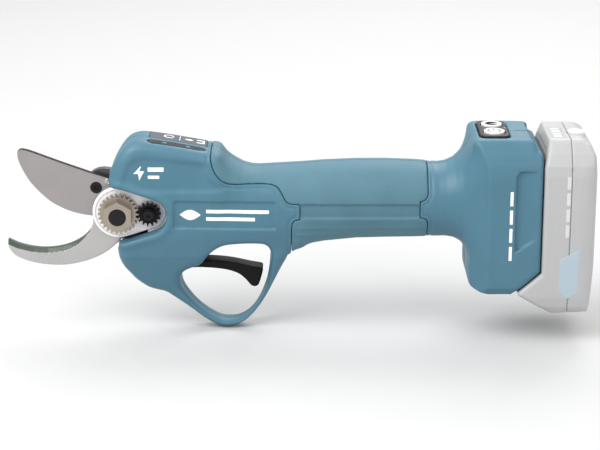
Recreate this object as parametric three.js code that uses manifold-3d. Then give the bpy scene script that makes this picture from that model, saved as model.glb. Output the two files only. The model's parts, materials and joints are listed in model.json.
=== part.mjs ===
// Battery electric pruner: a one-handed orchard and vineyard tool, about 302 mm long.
// Frame: millimetres, +Z up, -X towards the blade tips, -Y towards the side that carries the pivot nut.
// The origin lies under the middle of the tool, at the height of the guard's lowest point.
// The motor, planetary gearbox and bevel pinion lie on one drive axis that runs through the handle
// and meets the blade pivot axis at a right angle.
import * as THREE from "three";
import { mergeVertices } from "three/addons/utils/BufferGeometryUtils.js";
import Module from "manifold-3d";

const wasm = await Module();
wasm.setup();

// ---------------------------------------------------------------- driving dimensions (mm, degrees)
const HALF_LENGTH = 151;
const GAP = 0.3; // air between pieces that rest on each other
const SPLIT = 0.05; // half the air between the two housing shells

const PIVOT = { x: -92.7, z: 63.7 }; // blade pivot axis, along Y
const DRIVE_TILT = 2.5; // drive axis rises towards the rear by this angle

// Stack along the pivot axis, from the nut side (-Y) to the bolt head side (+Y)
const NUT_FRONT = -18;
const FLANGE_FRONT = -12.2;
const FLANGE_BACK = -9.2;
const LEFT_CHEEK = [-8.8, -5.5];
const HOOK = [-5.2, -0.15];
const BLADE = [0.15, 3.35];
const SWING = [3.65, 8.4];
const WASHER = [8.65, 9.35];
const RIGHT_CHEEK = [9.6, 12.8];
const BOLT_HEAD = [13.1, 17.3];
const BOLT_R = 4.2;
const BOLT_BORE_R = 4.5;

const NUT_FLATS = 14; // across flats
const LOCK_MODULE = 0.76;
const NUT_TEETH = 26;
const LOCK_TEETH = 15;
const LOCK_CENTRE = (LOCK_MODULE * (NUT_TEETH + LOCK_TEETH)) / 2;
const CHEEK_R = 13.5; // cheek plate, lobe round the pivot
const LOBE_R = 8.7; // cheek plate, lobe round the lock gear

const HEAD_HALF_WIDTH = 17.5;
const CAVITY_HALF_WIDTH = 15;
const BLADE_SLOT = [-5.9, 9.4]; // room for the blades between the head's side walls

// Gears on the drive axis
const GEAR_MODULE = 0.6;
const SUN_TEETH = 12;
const PLANET_TEETH = 15;
const RING_TEETH = SUN_TEETH + 2 * PLANET_TEETH;
const PLANET_ORBIT = (GEAR_MODULE * (SUN_TEETH + PLANET_TEETH)) / 2;
const PLANETS = 3;
const STAGE_2 = [44.4, 50]; // distances from the pivot, along the drive axis
const STAGE_1 = [53.9, 59.5];
const BEVEL_MODULE = 1;
const PINION_TEETH = 11;
const BEVEL_TEETH = 44; // teeth of the full circle that the swing gear is a sector of
const PINION_NEAR = 16.4;
const PINION_FAR = 22.4;
const SECTOR_SHARE = [-62, 13]; // angles of the toothed sector about the drive axis, degrees

const GEARBOX_R = 14.6; // outside of the gearbox and the motor
const SHAFT_BEARING = [28.5, 36.5];
const BEARING_R = 9.2;
const CASE_FRONT = 27.6;
const CASE_BACK = 43.4;
const RING_GEAR = [43.7, 60.7];
const FRONT_CAP = [61, 63.2];
const STATOR = [63.5, 99.5];
const REAR_CAP = [99.8, 103.5];
const STATOR_TEETH = 6;

const TRIGGER_PIN = { x: -72, z: 35 };
const TRIGGER_HALF_WIDTH = 5.5;

const FOOT_HALF_WIDTH = 28.5;
const FOOT_TOP = 106;
const FOOT_BOTTOM = 25.6;
const FOOT_BACK = 122.9;

const PACK_HALF_WIDTH = 29;
const PACK_FRONT = 123.2;
const PACK_BACK = HALF_LENGTH;
const PACK_BOTTOM = 15.3;
const PACK_TOP = 105.5;
const PACK_SPLIT = 137;
const CELL_R = 9;
const CELL_LENGTH = 65;

// ---------------------------------------------------------------- finishes
const finish = (color, roughness, metalness = 0) =>
  new THREE.MeshStandardMaterial({ color, roughness, metalness });
const TEAL = finish(0x4f8aa0, 0.55);
const TEAL_SOFT = finish(0x5c9bab, 0.8);
const BLACK = finish(0x26262a, 0.5);
const STEEL = finish(0xb4b2b2, 0.35, 1);
const HOOK_STEEL = finish(0xc6c4c3, 0.35, 1);
const BLACK_STEEL = finish(0x2b2c2e, 0.4, 0.8);
const BRIGHT_CAST = finish(0xe8e6ea, 0.25, 0.9);
const BRONZE = finish(0x9a8c7c, 0.4, 0.9);
const COPPER = finish(0xb46a3c, 0.4, 0.9);
const BRASS = finish(0xc9a45a, 0.35, 0.9);
const BOARD = finish(0x1f5a3a, 0.6);
const PACK_GREY = finish(0xc4c5c6, 0.5);
const WHITE = finish(0xf0f0f0, 0.5);
const PANEL_GREY = finish(0x6d7176, 0.5);
const CELL_WRAP = finish(0x3c6fae, 0.5);
const GEAR_STEEL = finish(0x8d9094, 0.35, 1);

// ---------------------------------------------------------------- making solids
const rad = THREE.MathUtils.degToRad;
const X_AXIS = new THREE.Vector3(1, 0, 0);
const Y_AXIS = new THREE.Vector3(0, 1, 0);
const Z_AXIS = new THREE.Vector3(0, 0, 1);
// Each basis turns a sketch, drawn in local x and y and extruded along local z, into place.
const SKETCH_ON = {
  XZ: new THREE.Matrix4().makeBasis(X_AXIS, Z_AXIS, Y_AXIS.clone().negate()),
  YZ: new THREE.Matrix4().makeBasis(Y_AXIS, Z_AXIS, X_AXIS),
  XY: new THREE.Matrix4(),
};

function solid(geometry) {
  const bare = geometry.clone();
  bare.deleteAttribute("normal");
  bare.deleteAttribute("uv");
  const merged = mergeVertices(bare, 1e-4);
  return new wasm.Manifold(
    new wasm.Mesh({
      numProp: 3,
      vertProperties: merged.attributes.position.array,
      triVerts: new Uint32Array(merged.index.array),
    }),
  );
}

function geometryOf(manifold) {
  const mesh = manifold.getMesh();
  const geometry = new THREE.BufferGeometry();
  geometry.setAttribute("position", new THREE.BufferAttribute(mesh.vertProperties, 3));
  geometry.setIndex(new THREE.BufferAttribute(mesh.triVerts, 1));
  return geometry;
}

const join = (...solids) => solids.reduce((a, b) => a.add(b));
const cut = (first, ...rest) => rest.reduce((a, b) => a.subtract(b), first);
const common = (...solids) => solids.reduce((a, b) => a.intersect(b));

// A sketch: [x, y] is a corner, { spline: [...] } a smooth run, { arc: [cx, cy, r, from, to] } an arc.
function sketch(start, ...steps) {
  const shape = new THREE.Shape().moveTo(...start);
  for (const step of steps) {
    if (Array.isArray(step)) {
      shape.lineTo(...step);
    } else if (step.spline) {
      shape.splineThru(step.spline.map(([x, y]) => new THREE.Vector2(x, y)));
    } else {
      const [cx, cy, r, from, to] = step.arc;
      shape.absarc(cx, cy, r, rad(from), rad(to), to < from);
    }
  }
  return shape;
}

// Extrudes a sketch drawn on a plane, between two places along the plane's normal.
function prism(shape, plane, from, to, curveSegments = 2) {
  const geometry = new THREE.ExtrudeGeometry(shape, {
    depth: to - from,
    bevelEnabled: false,
    curveSegments,
  });
  geometry.translate(0, 0, plane === "XZ" ? -to : from);
  return solid(geometry.applyMatrix4(SKETCH_ON[plane]));
}

function block(x, y, z) {
  const geometry = new THREE.BoxGeometry(x[1] - x[0], y[1] - y[0], z[1] - z[0]);
  return solid(geometry.translate((x[0] + x[1]) / 2, (y[0] + y[1]) / 2, (z[0] + z[1]) / 2));
}

// A round bar along Y, X or Z, between two places, centred on the other two coordinates.
function bar(axis, radius, [from, to], [a, b] = [0, 0], sides = 20) {
  const geometry = new THREE.CylinderGeometry(radius, radius, to - from, sides);
  geometry.translate(0, (from + to) / 2, 0);
  if (axis === "Y") return solid(geometry.translate(a, 0, b));
  if (axis === "X") return solid(geometry.rotateZ(-Math.PI / 2).translate(0, a, b));
  return solid(geometry.rotateX(Math.PI / 2).translate(a, b, 0));
}

const tube = (axis, outer, inner, [from, to], at, sides = 20) =>
  cut(bar(axis, outer, [from, to], at, sides), bar(axis, inner, [from - 1, to + 1], at, sides));

const hexBar = (axis, flats, span, at) => bar(axis, flats / Math.sqrt(3), span, at, 6);

// A solid through closed rings that all have the same number of points; each end is closed by a fan.
function loft(rings) {
  const count = rings[0].length;
  const points = rings.flat();
  const index = [];
  for (let r = 0; r + 1 < rings.length; r++)
    for (let i = 0; i < count; i++) {
      const a = r * count + i;
      const b = r * count + ((i + 1) % count);
      index.push(a, b, a + count, b, b + count, a + count);
    }
  for (let i = 1; i + 1 < count; i++) {
    const last = (rings.length - 1) * count;
    index.push(0, i + 1, i, last, last + i, last + i + 1);
  }
  const geometry = new THREE.BufferGeometry().setFromPoints(points);
  geometry.setIndex(index);
  const made = solid(geometry);
  if (made.volume() > 0) return made;
  for (let i = 0; i < index.length; i += 3) [index[i], index[i + 1]] = [index[i + 1], index[i]];
  return solid(geometry.setIndex(index));
}

// Corners of a gear: each tooth rises from the root, runs across its tip and falls back.
function gearCorners(teeth, module_, { addendum = 0.85, dedendum = 1.2, share = 0.4, flank = 0.32 } = {}) {
  const pitchR = (teeth * module_) / 2;
  const tip = pitchR + addendum * module_;
  const root = pitchR - dedendum * module_;
  const half = (share * Math.PI * module_) / 2;
  const corners = [];
  for (let i = 0; i < teeth; i++) {
    const middle = (i / teeth) * 2 * Math.PI;
    const atRoot = (half + flank * dedendum * module_) / pitchR;
    const atTip = (half - flank * addendum * module_) / pitchR;
    for (const [angle, radius] of [
      [-atRoot, root],
      [-atTip, tip],
      [atTip, tip],
      [atRoot, root],
    ])
      corners.push([radius * Math.cos(middle + angle), radius * Math.sin(middle + angle)]);
  }
  return corners;
}

const polygon = (corners) => new THREE.Shape(corners.map(([x, y]) => new THREE.Vector2(x, y)));
const gear = (teeth, module_, plane, from, to, options) =>
  prism(polygon(gearCorners(teeth, module_, options)), plane, from, to);

const assembly = new THREE.Group();
const driveLine = new THREE.Group(); // local +X runs along the drive axis from the pivot
driveLine.position.set(PIVOT.x, 0, PIVOT.z);
driveLine.rotation.y = -rad(DRIVE_TILT);
assembly.add(driveLine);

function add(name, manifold, material, parent = assembly) {
  const mesh = new THREE.Mesh(geometryOf(manifold), material);
  mesh.name = name;
  parent.add(mesh);
  return mesh;
}

// A solid made on the drive axis, moved into the tool's frame so that a neighbour can be cut by it.
function onDriveLine(manifold) {
  driveLine.updateMatrixWorld(true);
  return solid(geometryOf(manifold).applyMatrix4(driveLine.matrixWorld));
}

// ---------------------------------------------------------------- housing outlines
// The head, chin and trigger guard seen from the side, as [x, z].
function headOutline() {
  return sketch(
    [-45.2, 97],
    { spline: [[-61.9, 100], [-74.4, 101.8], [-82.7, 101.9], [-91, 96], [-98.2, 84]] },
    [-98.3, 79],
    [-98.3, 46.3],
    [-93.3, 46.3],
    { spline: [[-92.9, 40.5], [-84.3, 27.4], [-75, 21.3]] },
    { spline: [[-66, 17.6], [-52, 6.5], [-38.3, 0], [-25.5, 5.4], [-16.1, 19.5], [-7, 39], [-1.5, 46]] },
    [-1.5, 60],
    [-45.2, 60],
  );
}

// The opening inside the trigger guard.
function fingerHole() {
  return sketch(
    [-52.3, 34.5],
    { spline: [[-58.5, 33], [-61.6, 28], [-58.4, 17.6], [-48.8, 8.8], [-36.2, 3.9]] },
    { spline: [[-25.5, 8.4], [-17.8, 21.5], [-15.3, 36]] },
    { spline: [[-15.6, 44], [-20.3, 48]] },
    { spline: [[-37, 47.3], [-45, 42.2], [-52.3, 34.5]] },
  );
}

// Pear shape of the cheek plates: one lobe round the pivot, one round the lock gear.
function cheekOutline(grow = 0) {
  const big = CHEEK_R + grow;
  const small = LOBE_R + grow;
  const lean = (Math.acos((big - small) / LOCK_CENTRE) * 180) / Math.PI;
  return sketch(
    [PIVOT.x + big * Math.cos(rad(lean)), PIVOT.z + big * Math.sin(rad(lean))],
    { arc: [PIVOT.x, PIVOT.z, big, lean, 360 - lean] },
    { arc: [PIVOT.x + LOCK_CENTRE, PIVOT.z, small, -lean, lean] },
  );
}

// Half-widths of the head against height, and against distance along the tool.
const HEAD_FRONT_VIEW = [
  [7, -1], [7.5, 10], [10, 24], [15, 37], [17.5, 46], [17.5, 91], [15.8, 97], [11.5, 103],
];
const HEAD_TOP_VIEW = [[-100, 10.2], [-94, 14.5], [-86, HEAD_HALF_WIDTH], [0, HEAD_HALF_WIDTH]];

function mirroredAcrossSketchY(points) {
  return polygon([...points, ...points.map(([a, b]) => [-a, b]).reverse()]);
}

function mirroredAcrossSketchX(points) {
  return polygon([...points, ...points.map(([a, b]) => [a, -b]).reverse()]);
}

function head() {
  return common(
    prism(headOutline(), "XZ", -HEAD_HALF_WIDTH, HEAD_HALF_WIDTH, 3),
    prism(mirroredAcrossSketchY(HEAD_FRONT_VIEW), "YZ", -110, 10),
    prism(mirroredAcrossSketchX(HEAD_TOP_VIEW), "XY", -5, 110),
  );
}

// Handle stations from the neck to the foot: [x, top, bottom, half-width, squareness].
const HANDLE_STATIONS = [
  [-58, 97.5, 47.6, 16.5, 3.2],
  [-45, 96.6, 47.2, 17.6, 3],
  [-37, 94.2, 46.8, 18.6, 2.8],
  [-29, 89.8, 46.2, 19.3, 2.5],
  [-22, 87.9, 45.4, 19.7, 2.3],
  [-10, 88.3, 45, 20.1, 2.2],
  [6, 89.3, 46, 20.5, 2.1],
  [24, 90.3, 48.5, 20.6, 2.1],
  [45, 90.4, 49.3, 20.5, 2.1],
  [62, 89.8, 49.6, 20.2, 2.1],
  [71, 89, 49.8, 20, 2.1],
  [77, 90, 48.4, 20.8, 2.2],
  [82, 93, 45, 22.6, 2.4],
  [86, 97.6, 41, 24.6, 2.8],
  [90, 101.5, 36, 26, 3.2],
];

function handleLoft(inset = 0) {
  const sides = 24;
  const rings = HANDLE_STATIONS.map(([x, top, bottom, halfWidth, squareness]) => {
    const centre = (top + bottom) / 2;
    const halfHeight = (top - bottom) / 2 - inset;
    return Array.from({ length: sides }, (_, i) => {
      const angle = (2 * Math.PI * i) / sides;
      const power = 2 / squareness;
      const c = Math.cos(angle);
      const s = Math.sin(angle);
      const y = (halfWidth - inset) * Math.sign(c) * Math.abs(c) ** power;
      const z = centre + halfHeight * Math.sign(s) * Math.abs(s) ** power;
      return new THREE.Vector3(x, Math.abs(y) < 1e-6 ? 0 : y, z);
    });
  });
  return loft(rings);
}

// The foot that takes the battery pack.
const FOOT_TOP_VIEW = [
  [86.8, 11], [90, 20.5], [95, 26.8], [98, FOOT_HALF_WIDTH], [FOOT_BACK, FOOT_HALF_WIDTH],
];

function footSide() {
  return sketch(
    [86.8, 33],
    [95.5, FOOT_BOTTOM],
    [110, FOOT_BOTTOM],
    [FOOT_BACK, 37.3],
    [FOOT_BACK, 92],
    { spline: [[121.6, 98.5], [118.6, 104.6], [114, FOOT_TOP]] },
    [92, FOOT_TOP],
    { spline: [[88.2, 104.8], [86.8, 100.5]] },
  );
}

const FOOT_FRONT_VIEW = [
  [24, FOOT_BOTTOM],
  [FOOT_HALF_WIDTH, 31],
  [FOOT_HALF_WIDTH, 92],
  [25.5, 98.5],
  [22.5, 103],
  [20.5, FOOT_TOP],
];

function foot() {
  return common(
    prism(footSide(), "XZ", -FOOT_HALF_WIDTH, FOOT_HALF_WIDTH),
    prism(mirroredAcrossSketchX(FOOT_TOP_VIEW), "XY", FOOT_BOTTOM - 1, FOOT_TOP + 1),
    prism(mirroredAcrossSketchY(FOOT_FRONT_VIEW), "YZ", 80, FOOT_BACK + 1),
  );
}

// ---------------------------------------------------------------- housing hollows
function headHollow() {
  const side = sketch(
    [-112, 84.5],
    [-96.2, 84.5],
    [-89.5, 94],
    [-82, 98.6],
    [-61, 96.6],
    [-42, 92],
    [-42, 51.5],
    [-56.5, 51.5],
    [-58, 37.5],
    [-63.5, 33],
    [-66.5, 24.2],
    [-74.5, 24.2],
    [-82.5, 30],
    [-90, 40.5],
    [-90.8, 46.3],
    [-112, 46.3],
  );
  const slim = CAVITY_HALF_WIDTH - 4;
  const front = [
    [6, 22],
    [slim, 36],
    [CAVITY_HALF_WIDTH, 47],
    [CAVITY_HALF_WIDTH, 90],
    [slim, 99],
  ];
  const top = [
    [-112, BLADE_SLOT[1]],
    [-97, BLADE_SLOT[1]],
    [-88, CAVITY_HALF_WIDTH],
    [-40, CAVITY_HALF_WIDTH],
  ];
  return common(
    prism(side, "XZ", -CAVITY_HALF_WIDTH, CAVITY_HALF_WIDTH),
    prism(mirroredAcrossSketchY(front), "YZ", -113, -40),
    prism(mirroredAcrossSketchX(top), "XY", 20, 100),
  );
}

function driveHollow() {
  const wide = bar("X", GEARBOX_R + 0.4, [38, 108]);
  const narrow = bar("X", 14, [107, 186]);
  return onDriveLine(join(wide, narrow));
}

function footHollow() {
  const topView = [[91.5, 16], [95.5, 22.4], [99, 24.5], [108.5, 24.5]];
  const frontView = [[21, 30], [24.5, 34], [24.5, 90], [19, 98.5]];
  return join(
    common(
      prism(mirroredAcrossSketchX(topView), "XY", 30, 98.5),
      prism(mirroredAcrossSketchY(frontView), "YZ", 90, 110),
    ),
    block([93.4, 105], [-14.6, 14.6], [97, 103.5]),
  );
}

// Pocket in the foot for the black battery guide, open to the rear.
const GUIDE_POCKET_SPAN = [110.2, FOOT_BACK + 1];

function guidePocket() {
  const frontView = [[24.4, 20], [24.4, 91.1], [22.9, 97.2], [20.3, 101.7], [17.2, 104.2]];
  return prism(mirroredAcrossSketchY(frontView), "YZ", ...GUIDE_POCKET_SPAN);
}

// The side walls stop round the cheek plates, and the front between them is open for the blades.
function jawNotch() {
  return join(
    prism(cheekOutline(0.8), "XZ", -20, 20, 8),
    block([-125, PIVOT.x], [-20, 20], [46.4, 77.9]),
    block([-125, -86], BLADE_SLOT, [44, 87.5]),
  );
}

const triggerSlot = () =>
  prism(
    polygon([[-66, 30.5], [-50, 29.5], [-40, 38], [-40, 46], [-66, 46]]),
    "XZ",
    -TRIGGER_HALF_WIDTH - 0.6,
    TRIGGER_HALF_WIDTH + 0.6,
  );

// ---------------------------------------------------------------- soft grip
function gripRegion(grow = 0) {
  return sketch(
    [-44.8 - grow, 110],
    [-44.8 - grow, 88],
    {
      spline: [
        [-42, 81 - grow],
        [-33, 74.2 - grow],
        [-14, 73.6 - grow],
        [-8, 69.5 - grow],
        [-5.4 - grow, 63.5 - grow],
      ],
    },
    [-4.4 - grow, 40],
    [65.6 + grow, 40],
    [65.6 + grow, 110],
  );
}

const GRIP_DEPTH = 1.7;

const gripSkin = () =>
  common(cut(handleLoft(), handleLoft(GRIP_DEPTH)), prism(gripRegion(), "XZ", -30, 30, 3));

const gripPocket = () =>
  cut(
    prism(gripRegion(GAP), "XZ", -30, 30, 3),
    handleLoft(GRIP_DEPTH + GAP),
  );

// ---------------------------------------------------------------- housing fasteners
// Each screw enters from the +Y side: [x, z, height of its head's seat].
const HOUSING_SCREWS = [
  [-73, 91.2, 12],
  [-84.5, 35.5, 8.5],
  [-9.6, 41.5, 12],
  [94.8, 38, 21],
];
const SCREW_R = 1.5;
const SCREW_HEAD_R = 2.9;
const BOSS_R = 4;

const bosses = () =>
  join(...HOUSING_SCREWS.map(([x, z]) => bar("Y", BOSS_R, [-30, 30], [x, z], 16)));

const screwHoles = () =>
  join(
    ...HOUSING_SCREWS.flatMap(([x, z, seat]) => [
      bar("Y", SCREW_R + 0.3, [-8.5, seat + 1], [x, z], 12),
      bar("Y", SCREW_HEAD_R + 0.4, [seat, 40], [x, z], 16),
    ]),
  );

function addHousingScrews() {
  HOUSING_SCREWS.forEach(([x, z, seat], i) => {
    const head = bar("Y", SCREW_HEAD_R, [seat + GAP, seat + 2.4], [x, z], 16);
    const shank = bar("Y", SCREW_R, [-8, seat + 1], [x, z], 12);
    const socket = hexBar("Y", 2.6, [seat + 1.2, seat + 3], [x, z]);
    add(`housing_screw_${i + 1}`, cut(join(head, shank), socket), BLACK_STEEL);
  });
}

// ---------------------------------------------------------------- display and switch panel openings
const DISPLAY_SLOPE = 9; // the display follows the head's falling top, degrees
const DISPLAY = { x: [-15.4, 15], y: [-12.4, 8.4], boardY: 6, at: [-62, 98.6] };

function displayGroup() {
  const group = new THREE.Group();
  group.position.set(DISPLAY.at[0], 0, DISPLAY.at[1]);
  group.rotation.y = rad(DISPLAY_SLOPE);
  return group;
}
const onDisplay = (manifold) => {
  const group = displayGroup();
  group.updateMatrixWorld(true);
  return solid(geometryOf(manifold).applyMatrix4(group.matrixWorld));
};

const SWITCH_PANEL = { x: [91.8, 106.6], y: 16.5 };
const BUTTON_AT = [99.2, 7.6]; // x, and distance either side of the middle
const BUTTON_HALF = [5.3, 6];

function ellipseBar(rx, ry, from, to, x, y) {
  const shape = new THREE.Shape().absellipse(x, y, rx, ry, 0, 2 * Math.PI, false);
  return prism(shape, "XY", from, to, 10);
}

function displayOpening() {
  const x = [DISPLAY.x[0] - GAP, DISPLAY.x[1] + GAP];
  const seat = block(x, [DISPLAY.y[0] - GAP, DISPLAY.y[1] + GAP], [-0.7, 9]);
  const well = block(x, [-DISPLAY.boardY - 0.8, DISPLAY.boardY + 0.8], [-4.5, 9]);
  return onDisplay(join(seat, well));
}

function switchPanelOpening() {
  const x = [SWITCH_PANEL.x[0] - GAP, SWITCH_PANEL.x[1] + GAP];
  const y = SWITCH_PANEL.y + GAP;
  return block(x, [-y, y], [103.4, 110]);
}

const triggerPinHole = () => bar("Y", 1.8, [-13, 13], [TRIGGER_PIN.x, TRIGGER_PIN.z], 16);

// ---------------------------------------------------------------- housing shells
const REACH = 200;
const leftHalf = (manifold) => common(manifold, block([-REACH, REACH], [-REACH, -SPLIT], [-REACH, REACH]));
const rightHalf = (manifold) => common(manifold, block([-REACH, REACH], [SPLIT, REACH], [-REACH, REACH]));

function addHousing() {
  const outer = join(head(), handleLoft(), foot());
  const shell = cut(
    join(cut(outer, headHollow(), driveHollow(), footHollow()), common(bosses(), outer)),
    prism(fingerHole(), "XZ", -30, 30, 3),
    guidePocket(),
    jawNotch(),
    triggerSlot(),
    gripPocket(),
    screwHoles(),
    displayOpening(),
    switchPanelOpening(),
    triggerPinHole(),
    guideTongues(GAP),
  );
  const skin = gripSkin();
  add("housing_left", leftHalf(shell), TEAL);
  add("housing_right", rightHalf(shell), TEAL);
  add("grip_overmould_left", leftHalf(skin), TEAL_SOFT);
  add("grip_overmould_right", rightHalf(skin), TEAL_SOFT);
}

function addDisplay() {
  const group = displayGroup();
  assembly.add(group);
  const [x0, x1] = DISPLAY.x;
  const lens = block([x0, x1], DISPLAY.y, [-0.4, 1.4]);
  const posts = [x0 + 3, x1 - 3].map((x) => bar("Z", 1, [-2, 0], [x, 0], 10));
  const plate = block([x0 + 1, x1 - 1], [-DISPLAY.boardY, DISPLAY.boardY], [-3, -1.6]);
  add("display_panel", join(lens, plate, ...posts), PANEL_GREY, group);
}

function addSwitchPanel() {
  const { x, y } = SWITCH_PANEL;
  const [buttonX, buttonY] = BUTTON_AT;
  const [rx, ry] = BUTTON_HALF;
  const windows = [-buttonY, buttonY].map((at) => ellipseBar(rx + 0.35, ry + 0.35, 100, 110, buttonX, at));
  add("switch_bezel", cut(block(x, [-y, y], [103.7, FOOT_TOP + 0.35]), ...windows), BLACK);
  const button = (at) =>
    join(
      ellipseBar(rx, ry, 103.2, FOOT_TOP + 0.9, buttonX, at),
      block([buttonX - 1.5, buttonX + 1.5], [at - 1.5, at + 1.5], [102.3, 103.5]),
    );
  add("power_button", button(-buttonY), WHITE);
  add("mode_button", button(buttonY), WHITE);
  const switches = [-buttonY, buttonY].map((at) =>
    block([buttonX - 3, buttonX + 3], [at - 3, at + 3], [99.2, 101.2]),
  );
  add("switch_board", join(block([93.7, 104.7], [-14.2, 14.2], [97.8, 99.4]), ...switches), BOARD);
}

// ---------------------------------------------------------------- blades and pivot
function hookOutline() {
  return sketch(
    [-151, 47.6],
    { spline: [[-150.6, 43.4], [-146, 38.9], [-130, 34.8], [-114, 35.6], [-100, 41.4], [-89.5, 51]] },
    { spline: [[-82.6, 57.5], [-80.4, 63.7], [-82.4, 71], [-87, 75.4]] },
    { spline: [[-93.5, 76], [-102, 71.8], [-107.2, 63.7]] },
    { spline: [[-107.6, 58], [-110.4, 50.2], [-118.4, 43.9], [-130.4, 41.6], [-145, 44.2], [-151, 47.6]] },
  );
}

function bladeOutline() {
  return sketch(
    [-146.6, 93.6],
    { spline: [[-143.6, 84.4], [-134.3, 72], [-122.3, 63.4], [-111, 59.9], [-104, 58.4]] },
    { spline: [[-99, 53], [-91, 51.4], [-82.6, 56.8], [-80.8, 66], [-86, 75.8]] },
    [-97.6, 79.6],
    [-106.4, 82.2],
    [-138.2, 94.5],
    { spline: [[-142, 95.9], [-145.6, 95.7], [-146.6, 93.6]] },
  );
}

const ARM_SCREW = { x: -104.9, z: 74.6 };
// Pins on the left cheek plate that hold the hook still.
const HOOK_PINS = [
  [-86.2, 70.4],
  [-86, 57.2],
];

function pinionCorners(scale) {
  const tooth = { share: 0.34, flank: 0.36, addendum: 0.8, dedendum: 1.1 };
  return gearCorners(PINION_TEETH, BEVEL_MODULE, tooth).map(
    ([a, b]) => [a * scale, b * scale],
  );
}

const CONE = Math.hypot(BEVEL_TEETH, PINION_TEETH) * (BEVEL_MODULE / 2); // pitch cone length

// Bevel pinion, tapering towards the point where the drive axis crosses the pivot axis.
function bevelPinion() {
  const fullAt = (CONE * BEVEL_TEETH) / Math.hypot(BEVEL_TEETH, PINION_TEETH);
  const ring = (x) =>
    pinionCorners(x / fullAt).map(([a, b]) => new THREE.Vector3(x, a, b));
  return loft([ring(PINION_NEAR), ring(PINION_FAR)]);
}

// One tooth of the sector: a rib that points at the pinion and tapers towards the pivot.
function sectorTooth(angle) {
  const depthAt = (BEVEL_MODULE * PINION_TEETH) / 2; // pitch height above the pivot plane at full radius
  const fullR = (BEVEL_MODULE * BEVEL_TEETH) / 2;
  const ring = (radius) => {
    const scale = radius / fullR;
    const low = (depthAt - 0.75 * BEVEL_MODULE) * scale;
    const high = SWING[1] - 0.5;
    const tipHalf = 0.3 * scale;
    const rootHalf = tipHalf + 0.36 * (high - low);
    return [
      new THREE.Vector3(radius, low, tipHalf),
      new THREE.Vector3(radius, low, -tipHalf),
      new THREE.Vector3(radius, high, -rootHalf),
      new THREE.Vector3(radius, high, rootHalf),
    ].map((p) => p.applyAxisAngle(Y_AXIS, -rad(angle)));
  };
  return loft([ring(PINION_NEAR - 0.2), ring(PINION_FAR + 0.6)]);
}

const SECTOR_PITCH = 360 / BEVEL_TEETH;

function swingGear() {
  const [from, to] = SECTOR_SHARE;
  const webR = PINION_FAR + 0.6;
  const webFrom = from - 2 + DRIVE_TILT;
  const web = sketch(
    [PIVOT.x, PIVOT.z],
    [PIVOT.x + webR * Math.cos(rad(webFrom)), PIVOT.z + webR * Math.sin(rad(webFrom))],
    { arc: [PIVOT.x, PIVOT.z, webR, webFrom, to + 2 + DRIVE_TILT] },
  );
  const arm = sketch(
    [-99, 54],
    { spline: [[-92.7, 51.6], [-83, 56], [-80.7, 64], [-83.5, 73], [-88.5, 78.6]] },
    { spline: [[-95.5, 82.8], [-103.5, 83.6], [-109.2, 79.8], [-109.8, 73.4], [-103.8, 69.6]] },
  );
  const teeth = [];
  for (let k = Math.ceil(from / SECTOR_PITCH); k * SECTOR_PITCH <= to; k++)
    teeth.push(sectorTooth((k + 0.5) * SECTOR_PITCH));
  const blank = join(prism(arm, "XZ", ...SWING), prism(web, "XZ", 7.1, SWING[1], 12));
  return cut(
    join(blank, ...teeth.map((tooth) => onDriveLine(tooth))),
    bar("Y", BOLT_BORE_R, [0, 12], [PIVOT.x, PIVOT.z], 24),
    bar("Y", 1.9, [0, 12], [ARM_SCREW.x, ARM_SCREW.z], 12),
  );
}

function addBlades() {
  const pivotHole = bar("Y", BOLT_BORE_R, [-20, 20], [PIVOT.x, PIVOT.z], 24);
  const pinHoles = join(...HOOK_PINS.map((at) => bar("Y", 1.8, [-6, 1], at, 12)));
  add("hook_blade", cut(prism(hookOutline(), "XZ", ...HOOK, 3), pivotHole, pinHoles), HOOK_STEEL);
  const screwHole = bar("Y", 1.9, [-2, 6], [ARM_SCREW.x, ARM_SCREW.z], 12);
  const sink = bar("Y", 3.5, [-1, 1.3], [ARM_SCREW.x, ARM_SCREW.z], 16);
  add("cutting_blade", cut(prism(bladeOutline(), "XZ", ...BLADE, 3), pivotHole, screwHole, sink), STEEL);
  add("swing_gear", swingGear(), BLACK_STEEL);
  const screw = cut(
    join(
      bar("Y", 3.1, [-0.1, 1.1], [ARM_SCREW.x, ARM_SCREW.z], 16),
      bar("Y", 1.6, [0.5, SWING[1] - 0.6], [ARM_SCREW.x, ARM_SCREW.z], 12),
    ),
    hexBar("Y", 2.4, [-1, 0.7], [ARM_SCREW.x, ARM_SCREW.z]),
  );
  add("arm_screw", screw, BLACK_STEEL);
  add("thrust_washer", tube("Y", 8.5, BOLT_BORE_R, WASHER, [PIVOT.x, PIVOT.z], 24), BRONZE);
}

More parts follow.
